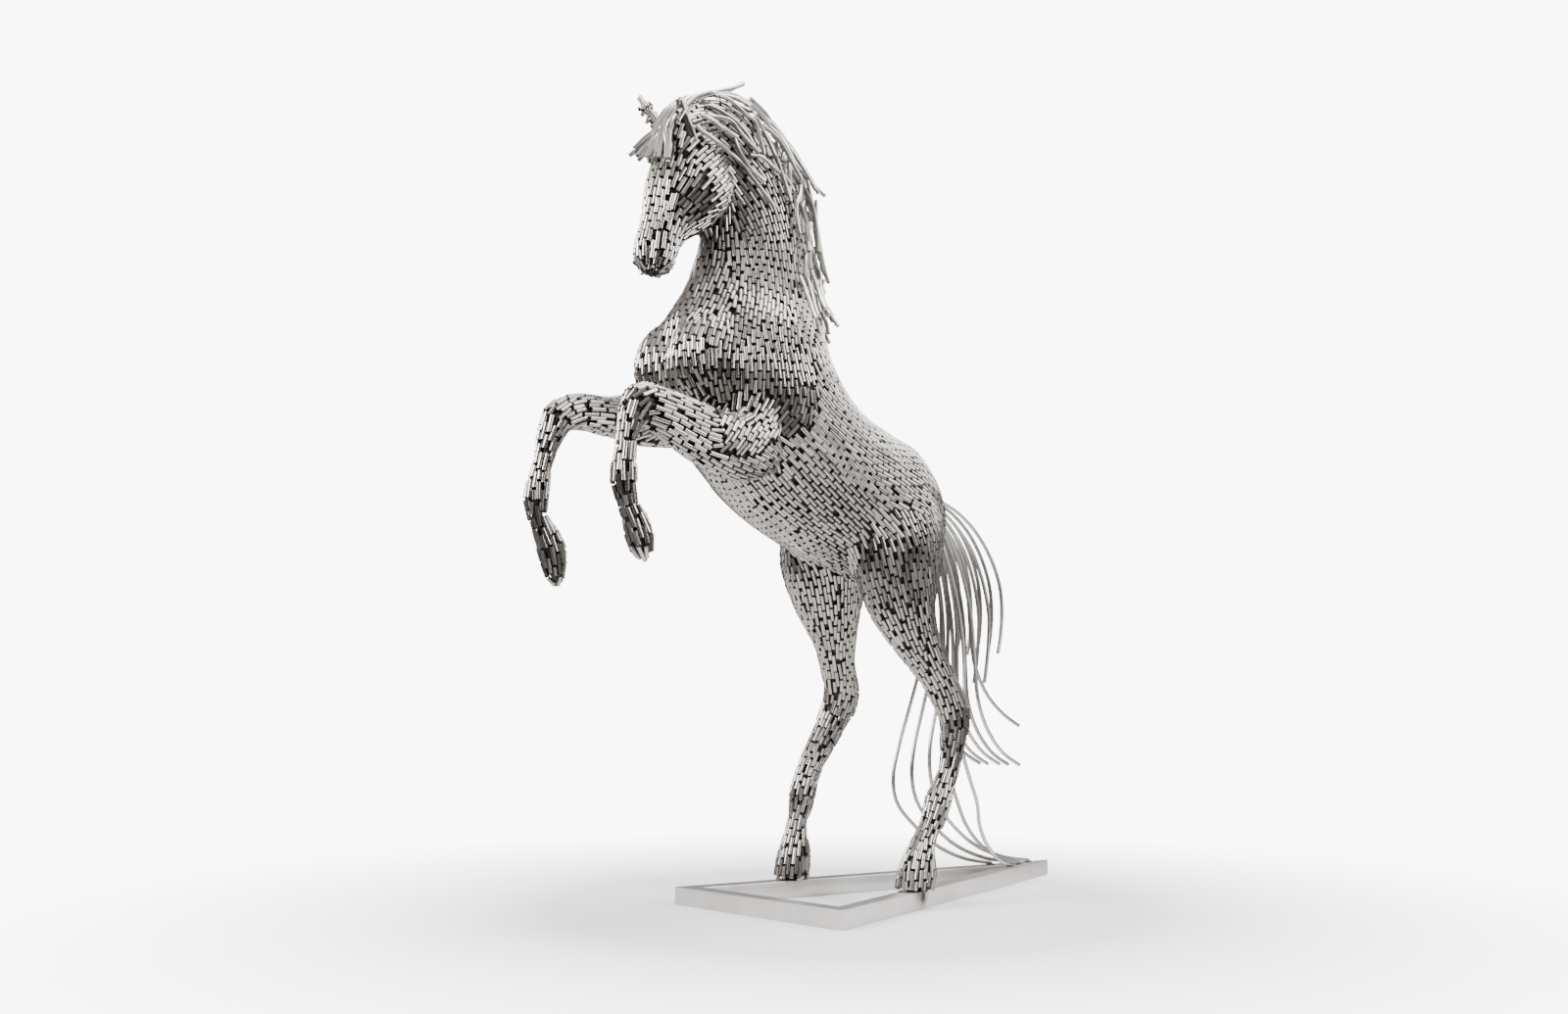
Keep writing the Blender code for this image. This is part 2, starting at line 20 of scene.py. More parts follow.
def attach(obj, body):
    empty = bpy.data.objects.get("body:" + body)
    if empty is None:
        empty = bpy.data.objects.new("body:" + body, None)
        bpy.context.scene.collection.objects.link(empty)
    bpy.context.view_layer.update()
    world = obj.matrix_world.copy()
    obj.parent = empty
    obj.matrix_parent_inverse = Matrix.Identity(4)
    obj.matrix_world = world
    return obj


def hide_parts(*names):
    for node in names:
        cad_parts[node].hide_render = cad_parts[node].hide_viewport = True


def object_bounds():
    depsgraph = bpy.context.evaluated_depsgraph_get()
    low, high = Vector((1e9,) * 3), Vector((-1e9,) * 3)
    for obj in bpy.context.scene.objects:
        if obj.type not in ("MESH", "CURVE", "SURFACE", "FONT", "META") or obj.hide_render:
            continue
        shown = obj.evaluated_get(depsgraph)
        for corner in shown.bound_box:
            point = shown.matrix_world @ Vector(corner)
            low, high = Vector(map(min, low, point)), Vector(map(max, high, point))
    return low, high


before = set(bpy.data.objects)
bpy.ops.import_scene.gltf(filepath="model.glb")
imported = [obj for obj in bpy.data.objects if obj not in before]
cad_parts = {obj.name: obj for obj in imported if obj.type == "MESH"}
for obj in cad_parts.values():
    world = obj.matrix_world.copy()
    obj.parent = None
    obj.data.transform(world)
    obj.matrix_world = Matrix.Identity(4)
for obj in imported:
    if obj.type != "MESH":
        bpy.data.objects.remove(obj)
CAD_BOX = [list(corner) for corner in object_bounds()]
print("CAD nodes:", len(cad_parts), "box:", CAD_BOX)

# %% [markdown]
# The horse is measured on a grid with one unit to the centimetre, which starts at the middle of
# the base's front edge and at the top of its tube. The numbers in the tables below are read on
# that grid, so the first thing needed is the way between the grid and metres.

# %% The grid
UNIT = 0.01
FRONT = 0.34868
TUBE_TOP = 0.0511


def to_grid(place):
    """A place in metres, in grid units: forward, to the left and up."""
    return (place[0] - FRONT) / UNIT, place[1] / UNIT, (place[2] - TUBE_TOP) / UNIT


def from_grid(forward, left, up):
    """A place in grid units, in metres."""
    return np.array((FRONT + forward * UNIT, left * UNIT, TUBE_TOP + up * UNIT))


def ramp(value, start, end):
    """0 before start, 1 after end, and a smooth rise between them."""
    share = min(1.0, max(0.0, (value - start) / (end - start)))
    return share * share * (3 - 2 * share)


def unit(vector):
    return vector / max(np.linalg.norm(vector), 1e-12)


print("the crown's height on the grid:", round(to_grid(CAD_BOX[1])[2]))

# %% [markdown]
# The camera stands where the photograph was taken: low, a little over half a metre up, ahead of
# the horse and to its left. It looks slightly upwards, which is why a rearing horse looks so tall.

# %% Camera
CAMERA_PLACE = (2.981, 2.816, 0.563)
CAMERA_YAW = math.radians(135.7)
CAMERA_RISE = math.radians(8.38)
CAMERA_LENS = 31.41

bpy.ops.object.camera_add(location=CAMERA_PLACE, rotation=(math.pi / 2 + CAMERA_RISE, 0, CAMERA_YAW))
camera = bpy.context.object
camera.data.lens = CAMERA_LENS
camera.data.sensor_width = 36
bpy.context.scene.camera = camera
print("camera looks along", [round(v, 3) for v in camera.matrix_world.to_3x3() @ Vector((0, 0, -1))])

# %% [markdown]
# Operators act on everything that is selected, so each step first chooses the one piece it works
# on. A copy of a CAD node has to be merged before it is shaped, because a CAD mesh is made of
# loose triangles.

# %% Helpers for choosing and copying pieces


def choose(piece):
    """Select this piece alone and make it active."""
    if bpy.context.object and bpy.context.object.mode != "OBJECT":
        bpy.ops.object.mode_set(mode="OBJECT")
    bpy.ops.object.select_all(action="DESELECT")
    piece.select_set(True)
    bpy.context.view_layer.objects.active = piece


def apply_modifier(piece, kind, **settings):
    """Add a modifier with these settings and apply it."""
    choose(piece)
    modifier = piece.modifiers.new(kind.lower(), kind)
    for name, value in settings.items():
        setattr(modifier, name, value)
    bpy.ops.object.modifier_apply(modifier=modifier.name)


def new_piece(name, data):
    """A new object with this mesh or curve, in the scene and chosen."""
    piece = bpy.data.objects.new(name, data)
    bpy.context.scene.collection.objects.link(piece)
    choose(piece)
    return piece


def copy_of_node(node, name):
    """A new piece with a merged copy of a CAD node's mesh."""
    piece = new_piece(name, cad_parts[node].data.copy())
    bpy.ops.object.mode_set(mode="EDIT")
    bpy.ops.mesh.select_all(action="SELECT")
    bpy.ops.mesh.remove_doubles(threshold=0.00005)
    bpy.ops.object.mode_set(mode="OBJECT")
    piece.data.materials.clear()
    return piece


def points_of(piece, what="co"):
    """The places of a mesh's points, or their normals, one row for each."""
    values = np.empty(len(piece.data.vertices) * 3)
    piece.data.vertices.foreach_get(what, values)
    return values.reshape(-1, 3)


def edge_ends_of(piece):
    """The point at one end of each of a mesh's edges, and the point at the other end."""
    ends = np.empty(len(piece.data.edges) * 2, int)
    piece.data.edges.foreach_get("vertices", ends)
    return ends[0::2], ends[1::2]


def move_points(piece, places):
    """Put a mesh's points at these places."""
    piece.data.vertices.foreach_set("co", places.ravel())
    piece.data.update()


# %% [markdown]
# The rods lie on the horse's form. The CAD skin is faceted, so a copy of it is remeshed and
# smoothed until no facet shows. Plain smoothing would starve the thin legs, so each round first
# smooths the points and then lets them swell back by a little more. Then the relief that a
# faceted solid can't carry is pushed and pulled on it: the hollow of the eye, the edge of the
# jaw, the high poll and the grooves between the muscles.

# %% The horse's form
FORM_VOXEL = 0.008
SMOOTHING_ROUNDS = 24
SMOOTHING_STEPS = (0.5, -0.53)

form = copy_of_node("horse_rod_skin", "horse_form")
apply_modifier(form, "REMESH", mode="VOXEL", voxel_size=FORM_VOXEL)


def smooth_without_shrinking(piece):
    """Each round moves every point towards its neighbours' middle, then a little more than back."""
    places = points_of(piece)
    first, second = edge_ends_of(piece)
    count = np.bincount(np.concatenate((first, second)), minlength=len(places))[:, None]
    for step in SMOOTHING_STEPS * SMOOTHING_ROUNDS:
        sums = [np.bincount(first, places[second, k], len(places))
                + np.bincount(second, places[first, k], len(places)) for k in range(3)]
        places += step * (np.stack(sums, 1) / count - places)
    move_points(piece, places)


smooth_without_shrinking(form)

# Each swelling or hollow of the left side: forward, left, up, its radius and its height in units.
# A height below zero is a hollow. The right side mirrors it, so one on the middle plane counts twice.
RELIEF = [
    (35.7, 6.5, 201.0, 2.6, -1.3), (34.5, 7.0, 204.8, 3.0, 0.8), (39.0, 3.0, 172.0, 3.0, 0.3),
    (26.0, 8.5, 193.0, 8.0, 0.9), (20.5, 7.0, 187.0, 3.2, -0.5), (38.5, 4.0, 186.0, 4.0, -0.4),
    (14.0, 11.0, 168.0, 5.0, -0.5), (20.0, 10.0, 176.0, 6.0, 0.4), (34.0, 0.0, 152.0, 3.5, -1.0),
    (33.0, 8.0, 142.0, 6.0, 0.7), (30.0, 14.0, 133.0, 4.0, -0.9), (-12.0, 20.0, 128.0, 7.0, -0.5),
    (-24.0, 20.0, 103.0, 8.0, -1.0), (-40.0, 18.0, 108.0, 9.0, 0.6), (-56.0, 18.0, 100.0, 5.0, -0.5),
    (6.0, 20.0, 150.0, 5.0, -0.5), (-2.0, 21.0, 138.0, 6.0, 0.5), (24.0, 0.0, 216.0, 5.0, 0.8),
    (17.0, 0.0, 218.0, 6.0, 1.2), (9.0, 0.0, 219.0, 7.0, 1.1),
]


def shape_relief():
    """Move the form's points along their normals by the swellings and hollows near them."""
    places = points_of(form)
    grid = (places - np.array((FRONT, 0, TUBE_TOP))) / UNIT
    shift = np.zeros(len(places))
    for forward, left, up, radius, height in RELIEF:
        for side in (1, -1):
            away = ((grid - (forward, side * left, up)) ** 2).sum(1)
            shift += height * np.exp(-away / radius ** 2)
    move_points(form, places + points_of(form, "normal") * shift[:, None] * UNIT)


shape_relief()
FORM_POINTS = points_of(form)
form_normals = points_of(form, "normal")
form_faces = [tuple(face.vertices) for face in form.data.polygons]
form_tree = BVHTree.FromPolygons([Vector(p) for p in FORM_POINTS], form_faces)


def nearest_face(place):
    """The nearest place on the form, the corners of its face and how much each counts there."""
    nearest, _, face, _ = form_tree.find_nearest(place)
    nearest = np.array(nearest)
    corners = list(form_faces[face])
    near = 1 / (((FORM_POINTS[corners] - nearest) ** 2).sum(1) + 1e-7)
    return nearest, corners, near[:, None]


def touch(place):
    """The nearest place on the form, and the form's smooth normal there."""
    nearest, corners, near = nearest_face(place)
    return nearest, unit((form_normals[corners] * near).sum(0))


print("the form has", len(form_faces), "faces")

# %% [markdown]
# The rods follow the horse's muscles as hair follows its skin. The maker chose a direction for
# each place; here it is given at some places of the side view, in degrees up from forward, and
# blended between them. On the legs the rods simply run down the limb. A jaw line parts the head's
# rods from the neck's, so that they meet there in a herringbone.

# %% Which way the rods run
HEAD_GRAIN = [
    (41, 173, 96), (38, 172, 100), (42, 182, 100), (40, 190, 97), (38, 198, 104), (36, 206, 106),
    (36, 181, 108), (28, 184, 125), (33, 194, 122), (31, 190, 130), (25, 197, 138), (20, 196, 138),
    (22, 204, 140), (31, 205, 133), (27, 211, 145), (28, 216, 160),
]
BODY_GRAIN = [
    (20, 209, 25), (11, 204, 38), (11, 196, 42), (11, 187, 60), (18, 186, 82), (2, 198, 63),
    (1, 188, 70), (-9, 192, 100), (13, 178, 85), (3, 180, 85), (-9, 183, 95), (21, 169, 108),
    (14, 169, 100), (5, 171, 95), (-8, 174, 90), (27, 160, 115), (17, 160, 105), (8, 161, 112),
    (-5, 164, 110), (34, 152, 108), (27, 150, 113), (19, 151, 100), (11, 152, 90), (1, 154, 105),
    (36, 145, 80), (28, 142, 84), (20, 143, 88), (12, 144, 80), (3, 146, 78), (-12, 149, 50),
    (32, 136, 55), (25, 136, 62), (19, 136, 92), (12, 137, 82), (3, 138, 70), (-9, 140, 28),
    (32, 126, 128), (21, 128, 140), (11, 130, 130), (24, 120, 124), (16, 132, 120), (4, 134, 100),
    (29, 121, 126), (7, 129, 127), (28, 131, 126), (14, 124, 132),
    (-8, 132, 26), (-23, 134, 28), (0, 123, 33), (12, 121, 25), (-8, 124, 29), (-19, 125, 24),
    (-34, 128, 14), (-1, 116, 38), (-10, 117, 34), (-20, 118, 31), (-31, 119, 12), (-45, 121, 14),
    (21, 113, 18), (29, 112, 19), (3, 110, 38), (-8, 109, 33), (-22, 110, 33), (-32, 111, 20),
    (-43, 112, 25), (-60, 114, 34), (-18, 103, 26), (-6, 103, 24), (-27, 103, 32), (-33, 103, 42),
    (-41, 104, 65), (-55, 105, 70), (-25, 96, 25), (-31, 96, 72), (-41, 96, 80), (-54, 97, 87),
    (-34, 88, 72), (-43, 88, 75), (-36, 80, 62), (-45, 80, 72), (-49, 82, 70),
]

# The jaw line: how far forward the head's rods begin, by height.
JAW_HEIGHTS = (170, 178, 184, 189, 196, 203, 210, 216)
JAW_FORWARD = (27, 26, 22, 18.5, 15.5, 16.5, 21, 25)
HEAD_LOWEST = 165

# The middle lines of the legs: forward, left and up.
LIMBS = {
    "left_foreleg": [
        (20, 15.5, 120.5), (35, 15.5, 122.6), (49, 14.8, 127.2), (54.4, 14.6, 128.2), (56.2, 14.4, 123),
        (57.4, 14.2, 115), (57.7, 14, 107), (55.8, 14, 100.6), (52.8, 14, 94.5), (51, 14, 87),
    ],
    "right_foreleg": [
        (20, -14.8, 133), (35, -15.2, 130.8), (50, -14.4, 130.2), (57, -14, 128.6), (60.2, -14, 123.5),
        (62.6, -14, 115), (64.4, -14, 105), (63.4, -14, 99), (60, -14, 93.5), (57.8, -14, 82),
    ],
    "left_hind_leg": [
        (-46.6, 13.2, 89), (-49.6, 15.2, 74.8), (-53, 16.5, 68), (-57.2, 17.8, 62), (-61.5, 19.2, 54.6),
        (-63.6, 20, 47), (-61.8, 20.2, 39), (-57.6, 20.2, 28.6), (-53.2, 20.2, 20.2), (-47.4, 20.2, 12),
        (-44.6, 20.2, 2.4), (-44, 20.2, -3),
    ],
    "right_hind_leg": [
        (-43.6, -13.6, 90), (-49.6, -16.3, 74), (-52.8, -18.1, 65), (-56.8, -20.1, 57.4), (-55.8, -21.5, 50),
        (-51.4, -22.2, 42.7), (-47, -22.2, 37), (-42, -22.2, 28), (-40.4, -22.2, 21), (-38.1, -22.2, 13.4),
        (-36.6, -22.2, 3), (-36, -22.2, -3),
    ],
}


def grain_table(rows):
    """Where the grain is given, and the doubled angles, so that up and down count as one."""
    table = np.array(rows, float)
    doubled = np.radians(2 * table[:, 2])
    return table[:, :2], np.cos(doubled), np.sin(doubled)


HEAD_TABLE = grain_table(HEAD_GRAIN)
BODY_TABLE = grain_table(BODY_GRAIN)
LIMB_LINES = {name: np.array(line, float) for name, line in LIMBS.items()}


def on_head(forward, up):
    return forward > np.interp(up, JAW_HEIGHTS, JAW_FORWARD) and up > HEAD_LOWEST


def side_grain(forward, up):
    """The rods' direction in the side view, blended from the places where it is given."""
    places, even, odd = HEAD_TABLE if on_head(forward, up) else BODY_TABLE
    away = (places[:, 0] - forward) ** 2 + (places[:, 1] - up) ** 2
    weight = 1 / (away + 3) ** 2
    lean = 0.5 * math.atan2(weight @ odd, weight @ even)
    return np.array((math.cos(lean), 0, math.sin(lean)))


def limb_grain(line, place):
    """The direction down the limb beside this place, and how far the limb's middle line is."""
    start, run = line[:-1], line[1:] - line[:-1]
    share = np.clip(((place - start) * run).sum(1) / (run * run).sum(1), 0, 1)
    away = ((start + run * share[:, None] - place) ** 2).sum(1)
    weight = 1 / (away + 0.5) ** 3
    return unit((run / np.linalg.norm(run, axis=1)[:, None] * weight[:, None]).sum(0)), math.sqrt(away.min())


def limb_share(name, place, away):
    """How far the rods here follow the limb: 0 on the body, 1 on the limb."""
    forward, left, up = place
    if (left > 0) != name.startswith("left"):
        return 0.0
    if name.endswith("foreleg"):
        return ramp(forward, 31, 35) * (1 - ramp(away, 10, 14)) * (1 - ramp(up, 138, 144))
    return (1 - ramp(up, 80, 95)) * (1 - ramp(forward, -22, -15))


def grain(place):
    """The rods' direction at a place, before it is laid flat on the form."""
    spot = np.array(to_grid(place))
    run = side_grain(spot[0], spot[2])
    for name, line in LIMB_LINES.items():
        if (spot[1] > 0) == name.startswith("left"):
            limb, away = limb_grain(line, spot)
            share = limb_share(name, spot, away)
            if share > 0:
                run = run * (1 - share) + limb * share * (1 if run @ limb > 0 else -1)
    return unit(run)


print("grain at the cheek:", np.round(grain(from_grid(25, 8, 197)), 2))

# %% [markdown]
# Laying the rods is bricklaying on a curved wall, and the rows of bricks are like ripples: row
# after row at one distance, all across the grain. So each point of the form is given two phases.
# One says how far the point is from the middle of its row, the other how far it is from the middle
# of its rod, with every next row half a rod further on. A point's neighbours tell it, by their own
# phases and the way between them, what its phase should be. When every point has agreed with its
# neighbours some hundreds of times over, the rows run evenly, and a row starts or ends where the
# form grows or shrinks.

# %% Rows as ripples
ROD_DIAMETER = 0.0126
ROD_RADIUS = ROD_DIAMETER / 2
ROD_LENGTH = 0.047
ROD_PITCH = 0.0553
ROW_PITCH = 0.0124
RIPPLE_ROUNDS = 550
MOMENTUM = 0.9
LEAST_TRUST = 0.3
FULL_TURN = 2 * math.pi

wish = np.array([grain(place) for place in FORM_POINTS])
end_on = (wish * form_normals).sum(1)
along = wish.copy()
along -= form_normals * (along * form_normals).sum(1)[:, None]
along /= np.maximum(np.linalg.norm(along, axis=1), 1e-9)[:, None]
across = np.cross(form_normals, along)

first_ends, second_ends = edge_ends_of(form)
here = np.concatenate((first_ends, second_ends))
there = np.concatenate((second_ends, first_ends))
way = FORM_POINTS[here] - FORM_POINTS[there]
alike = (along[here] * along[there]).sum(1)
# The rods' direction has no front or back, so a neighbour may count the other way round.
sign = np.where(alike < 0, -1, 1)
# Across a seam, where the directions differ by over 25 degrees, neighbours don't ask each other.
trust = np.clip((np.abs(alike) - 0.90) / 0.08, 0, 1)


def gathered(values):
    """The sum, at each point, of a value on each of the ways that lead to it."""
    return np.bincount(here, values, len(FORM_POINTS))


def first_guess(growth):
    """Phases carried from point to point, outwards from the start."""
    neighbours = [[] for _ in FORM_POINTS]
    for i, j, rise, turn, share in zip(here, there, growth, sign, trust):
        if share > LEAST_TRUST:
            neighbours[j].append((i, rise, turn))
    phase = np.full(len(FORM_POINTS), np.nan)
    for start in range(len(FORM_POINTS)):
        if not np.isnan(phase[start]):
            continue
        phase[start] = 0
        waiting = deque([start])
        while waiting:
            j = waiting.popleft()
            for i, rise, turn in neighbours[j]:
                if np.isnan(phase[i]):
                    phase[i] = turn * phase[j] + rise
                    waiting.append(i)
    return np.exp(1j * phase)


def ripple(vectors):
    """Phases that agree between neighbours, and how the wave really runs at each point."""
    growth = 0.5 * ((vectors[here] + sign[:, None] * vectors[there]) * way).sum(1)
    carry = trust * np.exp(1j * growth)
    share = np.maximum(gathered(trust), 1e-6)
    phase = first_guess(growth)
    before = phase
    for _ in range(RIPPLE_ROUNDS):
        told = phase[there]
        told = carry * np.where(sign < 0, told.conj(), told)
        mean = (gathered(told.real) + 1j * gathered(told.imag)) / share
        after = 0.5 * (phase + mean) + MOMENTUM * (phase - before)
        before, phase = phase, after / np.maximum(np.abs(after), 1e-9)
    told = phase[there]
    told = np.exp(1j * growth) * np.where(sign < 0, told.conj(), told)
    error = trust * np.angle(phase[here] * told.conj())
    forward, sideways = (way * along[here]).sum(1), (way * across[here]).sum(1)
    a = gathered(trust * forward ** 2) + 1e-6
    b = gathered(trust * forward * sideways)
    c = gathered(trust * sideways ** 2) + 1e-6
    p, q = gathered(error * forward), gathered(error * sideways)
    scale = 1 / (a * c - b * b)
    change = np.stack(((c * p - b * q) * scale, (a * q - b * p) * scale), 1)
    flat = np.stack(((vectors * along).sum(1), (vectors * across).sum(1)), 1)
    return np.angle(phase), flat + change, np.abs(error).mean()


row_vectors = across * (FULL_TURN / ROW_PITCH)
rod_vectors = along * (FULL_TURN / ROD_PITCH) - across * (FULL_TURN / ROW_PITCH / 2)
row_phase, row_wave, row_error = ripple(row_vectors)
rod_phase, rod_wave, rod_error = ripple(rod_vectors)
print("mean disagreement of neighbours:", round(row_error, 3), round(rod_error, 3))

# %% [markdown]
# Where both phases are zero lies the middle of a rod. From each point of the form the way to the
# nearest such place follows from its two phases and the way the two waves run there. The points
# that lie closest to one lay the rod, along the row, with both ends just under the surface.

# %% Laying the rods
MOST_RODS = 20000
CELL = 0.06
PLACE_REACH = 0.008
END_GAP = 0.0083
SHORTEST_ROD = 0.030
LONGEST_ROD = 0.053
SQUEEZE = 0.70 * ROD_DIAMETER
# The last bit of each end isn't counted when two rods are tested for an overlap.
TIP = 0.003
# A rod is left out where its direction points this much out of the form.
STEEPEST = 0.93
EYES = [from_grid(35.7, side * 7.5, 200.9) for side in (1, -1)]
EYE_HOLLOW = 0.0125
EAR_ROOTS = [from_grid(32.6, 6.1, 209.4), from_grid(32.8, -6.1, 214.2)]
EAR_REACH = 0.031
LOWEST = TUBE_TOP + 0.0015
rng = random.Random(11)

# The rods' own direction runs along the rows as they came out, not quite along the wish.
run_along, run_across = row_wave[:, 1], -row_wave[:, 0]
steepness = np.maximum(np.hypot(run_along, run_across), 1e-9)
FORM_RUN = along * (run_along / steepness)[:, None] + across * (run_across / steepness)[:, None]


def lie(place):
    """The nearest place on the form, its normal there and the direction of the row there."""
    nearest, corners, near = nearest_face(place)
    runs = FORM_RUN[corners]
    runs = runs * np.where(runs @ runs[0] < 0, -1, 1)[:, None]
    return nearest, unit((form_normals[corners] * near).sum(0)), unit((runs * near).sum(0))


def shortest_gaps(start, end, starts, ends):
    """The shortest distance from one straight line to each of many."""
    run, runs, between = end - start, ends - starts, start - starts
    a, e = run @ run, (runs * runs).sum(1)
    f, c, b = (runs * between).sum(1), between @ run, runs @ run
    s = np.clip((b * f - c * e) / np.maximum(a * e - b * b, 1e-12), 0, 1)
    t = np.clip((b * s + f) / e, 0, 1)
    s = np.clip((b * t - c) / a, 0, 1)
    return np.linalg.norm(between + run * s[:, None] - runs * t[:, None], axis=1)


class Bed:
    """All the rods laid so far."""

    def __init__(self):
        self.starts = np.empty((MOST_RODS, 3))
        self.ends = np.empty((MOST_RODS, 3))
        self.cells = {}
        self.rods = []

    def near(self, place):
        x, y, z = (int(math.floor(v / CELL)) for v in place)
        found = []
        for i in (x - 1, x, x + 1):
            for j in (y - 1, y, y + 1):
                for k in (z - 1, z, z + 1):
                    found += self.cells.get((i, j, k), ())
        return found

    def is_free(self, middle, axis, length, gap):
        found = self.near(middle)
        if not found:
            return True
        half = axis * (length / 2 - TIP)
        gaps = shortest_gaps(middle - half, middle + half, self.starts[found], self.ends[found])
        return gaps.min() >= gap

    def add(self, middle, axis, normal, length):
        number = len(self.rods)
        half = axis * (length / 2 - TIP)
        self.starts[number], self.ends[number] = middle - half, middle + half
        cell = tuple(int(math.floor(v / CELL)) for v in middle)
        self.cells.setdefault(cell, []).append(number)
        self.rods.append((middle, axis, normal, length))
        return number


def settle(place, length):
    """Lay a rod at a place: on the form, along its row, both ends just under the surface."""
    nearest, normal, run = lie(place)
    if abs(normal @ grain(nearest)) > STEEPEST:
        return None
    run = unit(run - normal * (run @ normal))
    ends = []
    for side in (-1, 1):
        spot, tilt = touch(nearest - normal * ROD_RADIUS + run * (side * length / 2))
        ends.append(spot - tilt * ROD_RADIUS)
    axis = unit(ends[1] - ends[0])
    middle = (nearest - normal * ROD_RADIUS) * 0.5 + (ends[0] + ends[1]) * 0.25
    return middle, axis, unit(normal - axis * (normal @ axis))


def is_barred(middle, axis, length):
    """True for a rod on an ear or in an eye's hollow, or one that would cut into the base."""
    if min(np.linalg.norm(middle - root) for root in EAR_ROOTS) < EAR_REACH:
        return True
    for eye in EYES:
        shift = np.clip((eye - middle) @ axis, -length / 2, length / 2)
        if np.linalg.norm(middle + axis * shift - eye) < EYE_HOLLOW:
            return True
    return middle[2] - abs(axis[2]) * length / 2 < LOWEST


def try_rod(bed, place, length, gap):
    """Lay a rod here and give its number, or None where it is barred or too near to another."""
    laid = settle(place, length)
    if laid is None or is_barred(laid[0], laid[1], length):
        return None
    if not bed.is_free(laid[0], laid[1], length, gap):
        return None
    return bed.add(laid[0], laid[1], laid[2], length)


def rod_places():
    """For each point of the form, the way to the nearest middle of a rod, in metres."""
    best = np.full(len(FORM_POINTS), 1.0)
    ways = np.zeros((len(FORM_POINTS), 2))
    det = rod_wave[:, 0] * row_wave[:, 1] - rod_wave[:, 1] * row_wave[:, 0]
    for m in (-1, 0, 1):
        for n in (-1, 0, 1):
            p, q = FULL_TURN * m - rod_phase, FULL_TURN * n - row_phase
            u = (row_wave[:, 1] * p - rod_wave[:, 1] * q) / det
            w = (rod_wave[:, 0] * q - row_wave[:, 0] * p) / det
            size = np.hypot(u, w)
            closer = size < best
            best[closer] = size[closer]
            ways[closer] = np.stack((u, w), 1)[closer]
    return best, FORM_POINTS + along * ways[:, :1] + across * ways[:, 1:]


def is_bare(bed, index, place, gap):
    """True if no rod's axis is nearer than the gap under a place close to this point of the form."""
    found = bed.near(place)
    if not found:
        return True
    spot = place - form_normals[index] * ROD_RADIUS
    dot = spot + form_normals[index] * 1e-5
    return shortest_gaps(spot, dot, bed.starts[found], bed.ends[found]).min() >= gap


# Where the waves are squeezed the rods are cut shorter, so that the gap at their ends stays the same.
beat = np.abs(rod_wave[:, 0] * run_along + rod_wave[:, 1] * run_across) / steepness
rod_lengths = np.clip(FULL_TURN / np.maximum(beat, 1e-6) - END_GAP, SHORTEST_ROD, LONGEST_ROD)

bed = Bed()
way_left, places = rod_places()
for index in np.argsort(way_left):
    if way_left[index] < PLACE_REACH and is_bare(bed, index, places[index], SQUEEZE):
        try_rod(bed, places[index], rod_lengths[index], SQUEEZE)
print("rods in rows:", len(bed.rods))

# %% [markdown]
# Some rods now lie a little too close and others leave a gap between them. First each pair that
# overlaps pushes its two rods away from each other along the form, over and over, until they lie
# side by side and just touch, as they have to for welding. Then the gaps that are left are
# filled with offcuts, as a welder would do, and everything is eased once more.

# %% Easing the rods apart and filling the gaps
EASING_ROUNDS = 16
EASING_STEP = 0.0015
STILL = 0.0002
TOUCHING = 0.97 * ROD_DIAMETER
CUTTING = 0.68 * ROD_DIAMETER
# Each offcut's length, and its least distance from its neighbours as a share of the diameter.
OFFCUTS = ((ROD_LENGTH, 0.72), (0.036, 0.70), (0.025, 0.68))


def close_pairs(middles):
    """Every pair of rods that might touch, each pair once."""
    cells = {}
    for i, cell in enumerate(np.floor(middles / CELL).astype(int)):
        cells.setdefault(tuple(cell), []).append(i)
    firsts, seconds = [], []
    for (x, y, z), own in cells.items():
        beside = np.array([j for a in (-1, 0, 1) for b in (-1, 0, 1) for c in (-1, 0, 1)
                           for j in cells.get((x + a, y + b, z + c), ())])
        for i in own:
            close = beside[(beside > i) & (np.abs(middles[beside] - middles[i]).max(1) < CELL)]
            firsts += [i] * len(close)
            seconds += list(close)
    return np.array(firsts), np.array(seconds)


def closest_points(starts, runs, others, other_runs):
    """Where each line of one set comes closest to its partner of the other set."""
    between = starts - others
    a, e = (runs * runs).sum(1), (other_runs * other_runs).sum(1)
    f, c, b = (other_runs * between).sum(1), (runs * between).sum(1), (runs * other_runs).sum(1)
    s = np.clip((b * f - c * e) / np.maximum(a * e - b * b, 1e-12), 0, 1)
    t = np.clip((b * s + f) / e, 0, 1)
    s = np.clip((b * t - c) / a, 0, 1)
    return starts + runs * s[:, None], others + other_runs * t[:, None]


def ease_apart(rods):
    """Push every two rods that overlap away from each other along the form, round after round."""
    middles, axes, normals = (np.array([rod[k] for rod in rods]) for k in range(3))
    lengths = np.array([rod[3] for rod in rods])
    halves = axes * (lengths / 2 - TIP)[:, None]
    firsts, seconds = close_pairs(middles)
    for _ in range(EASING_ROUNDS):
        starts, runs = middles - halves, 2 * halves
        near, far = closest_points(starts[firsts], runs[firsts], starts[seconds], runs[seconds])
        away = near - far
        gap = np.linalg.norm(away, axis=1)
        push = away * (0.5 * np.clip(TOUCHING - gap, 0, None) / np.maximum(gap, 1e-6))[:, None]
        move = np.zeros_like(middles)
        np.add.at(move, firsts, push)
        np.add.at(move, seconds, -push)
        move -= normals * (move * normals).sum(1)[:, None]
        size = np.linalg.norm(move, axis=1)
        move *= np.minimum(1, EASING_STEP / np.maximum(size, 1e-9))[:, None]
        middles += move
        for i in np.nonzero(size > STILL)[0]:
            nearest, normals[i] = touch(middles[i])
            middles[i] = nearest - normals[i] * ROD_RADIUS
    return middles, lengths


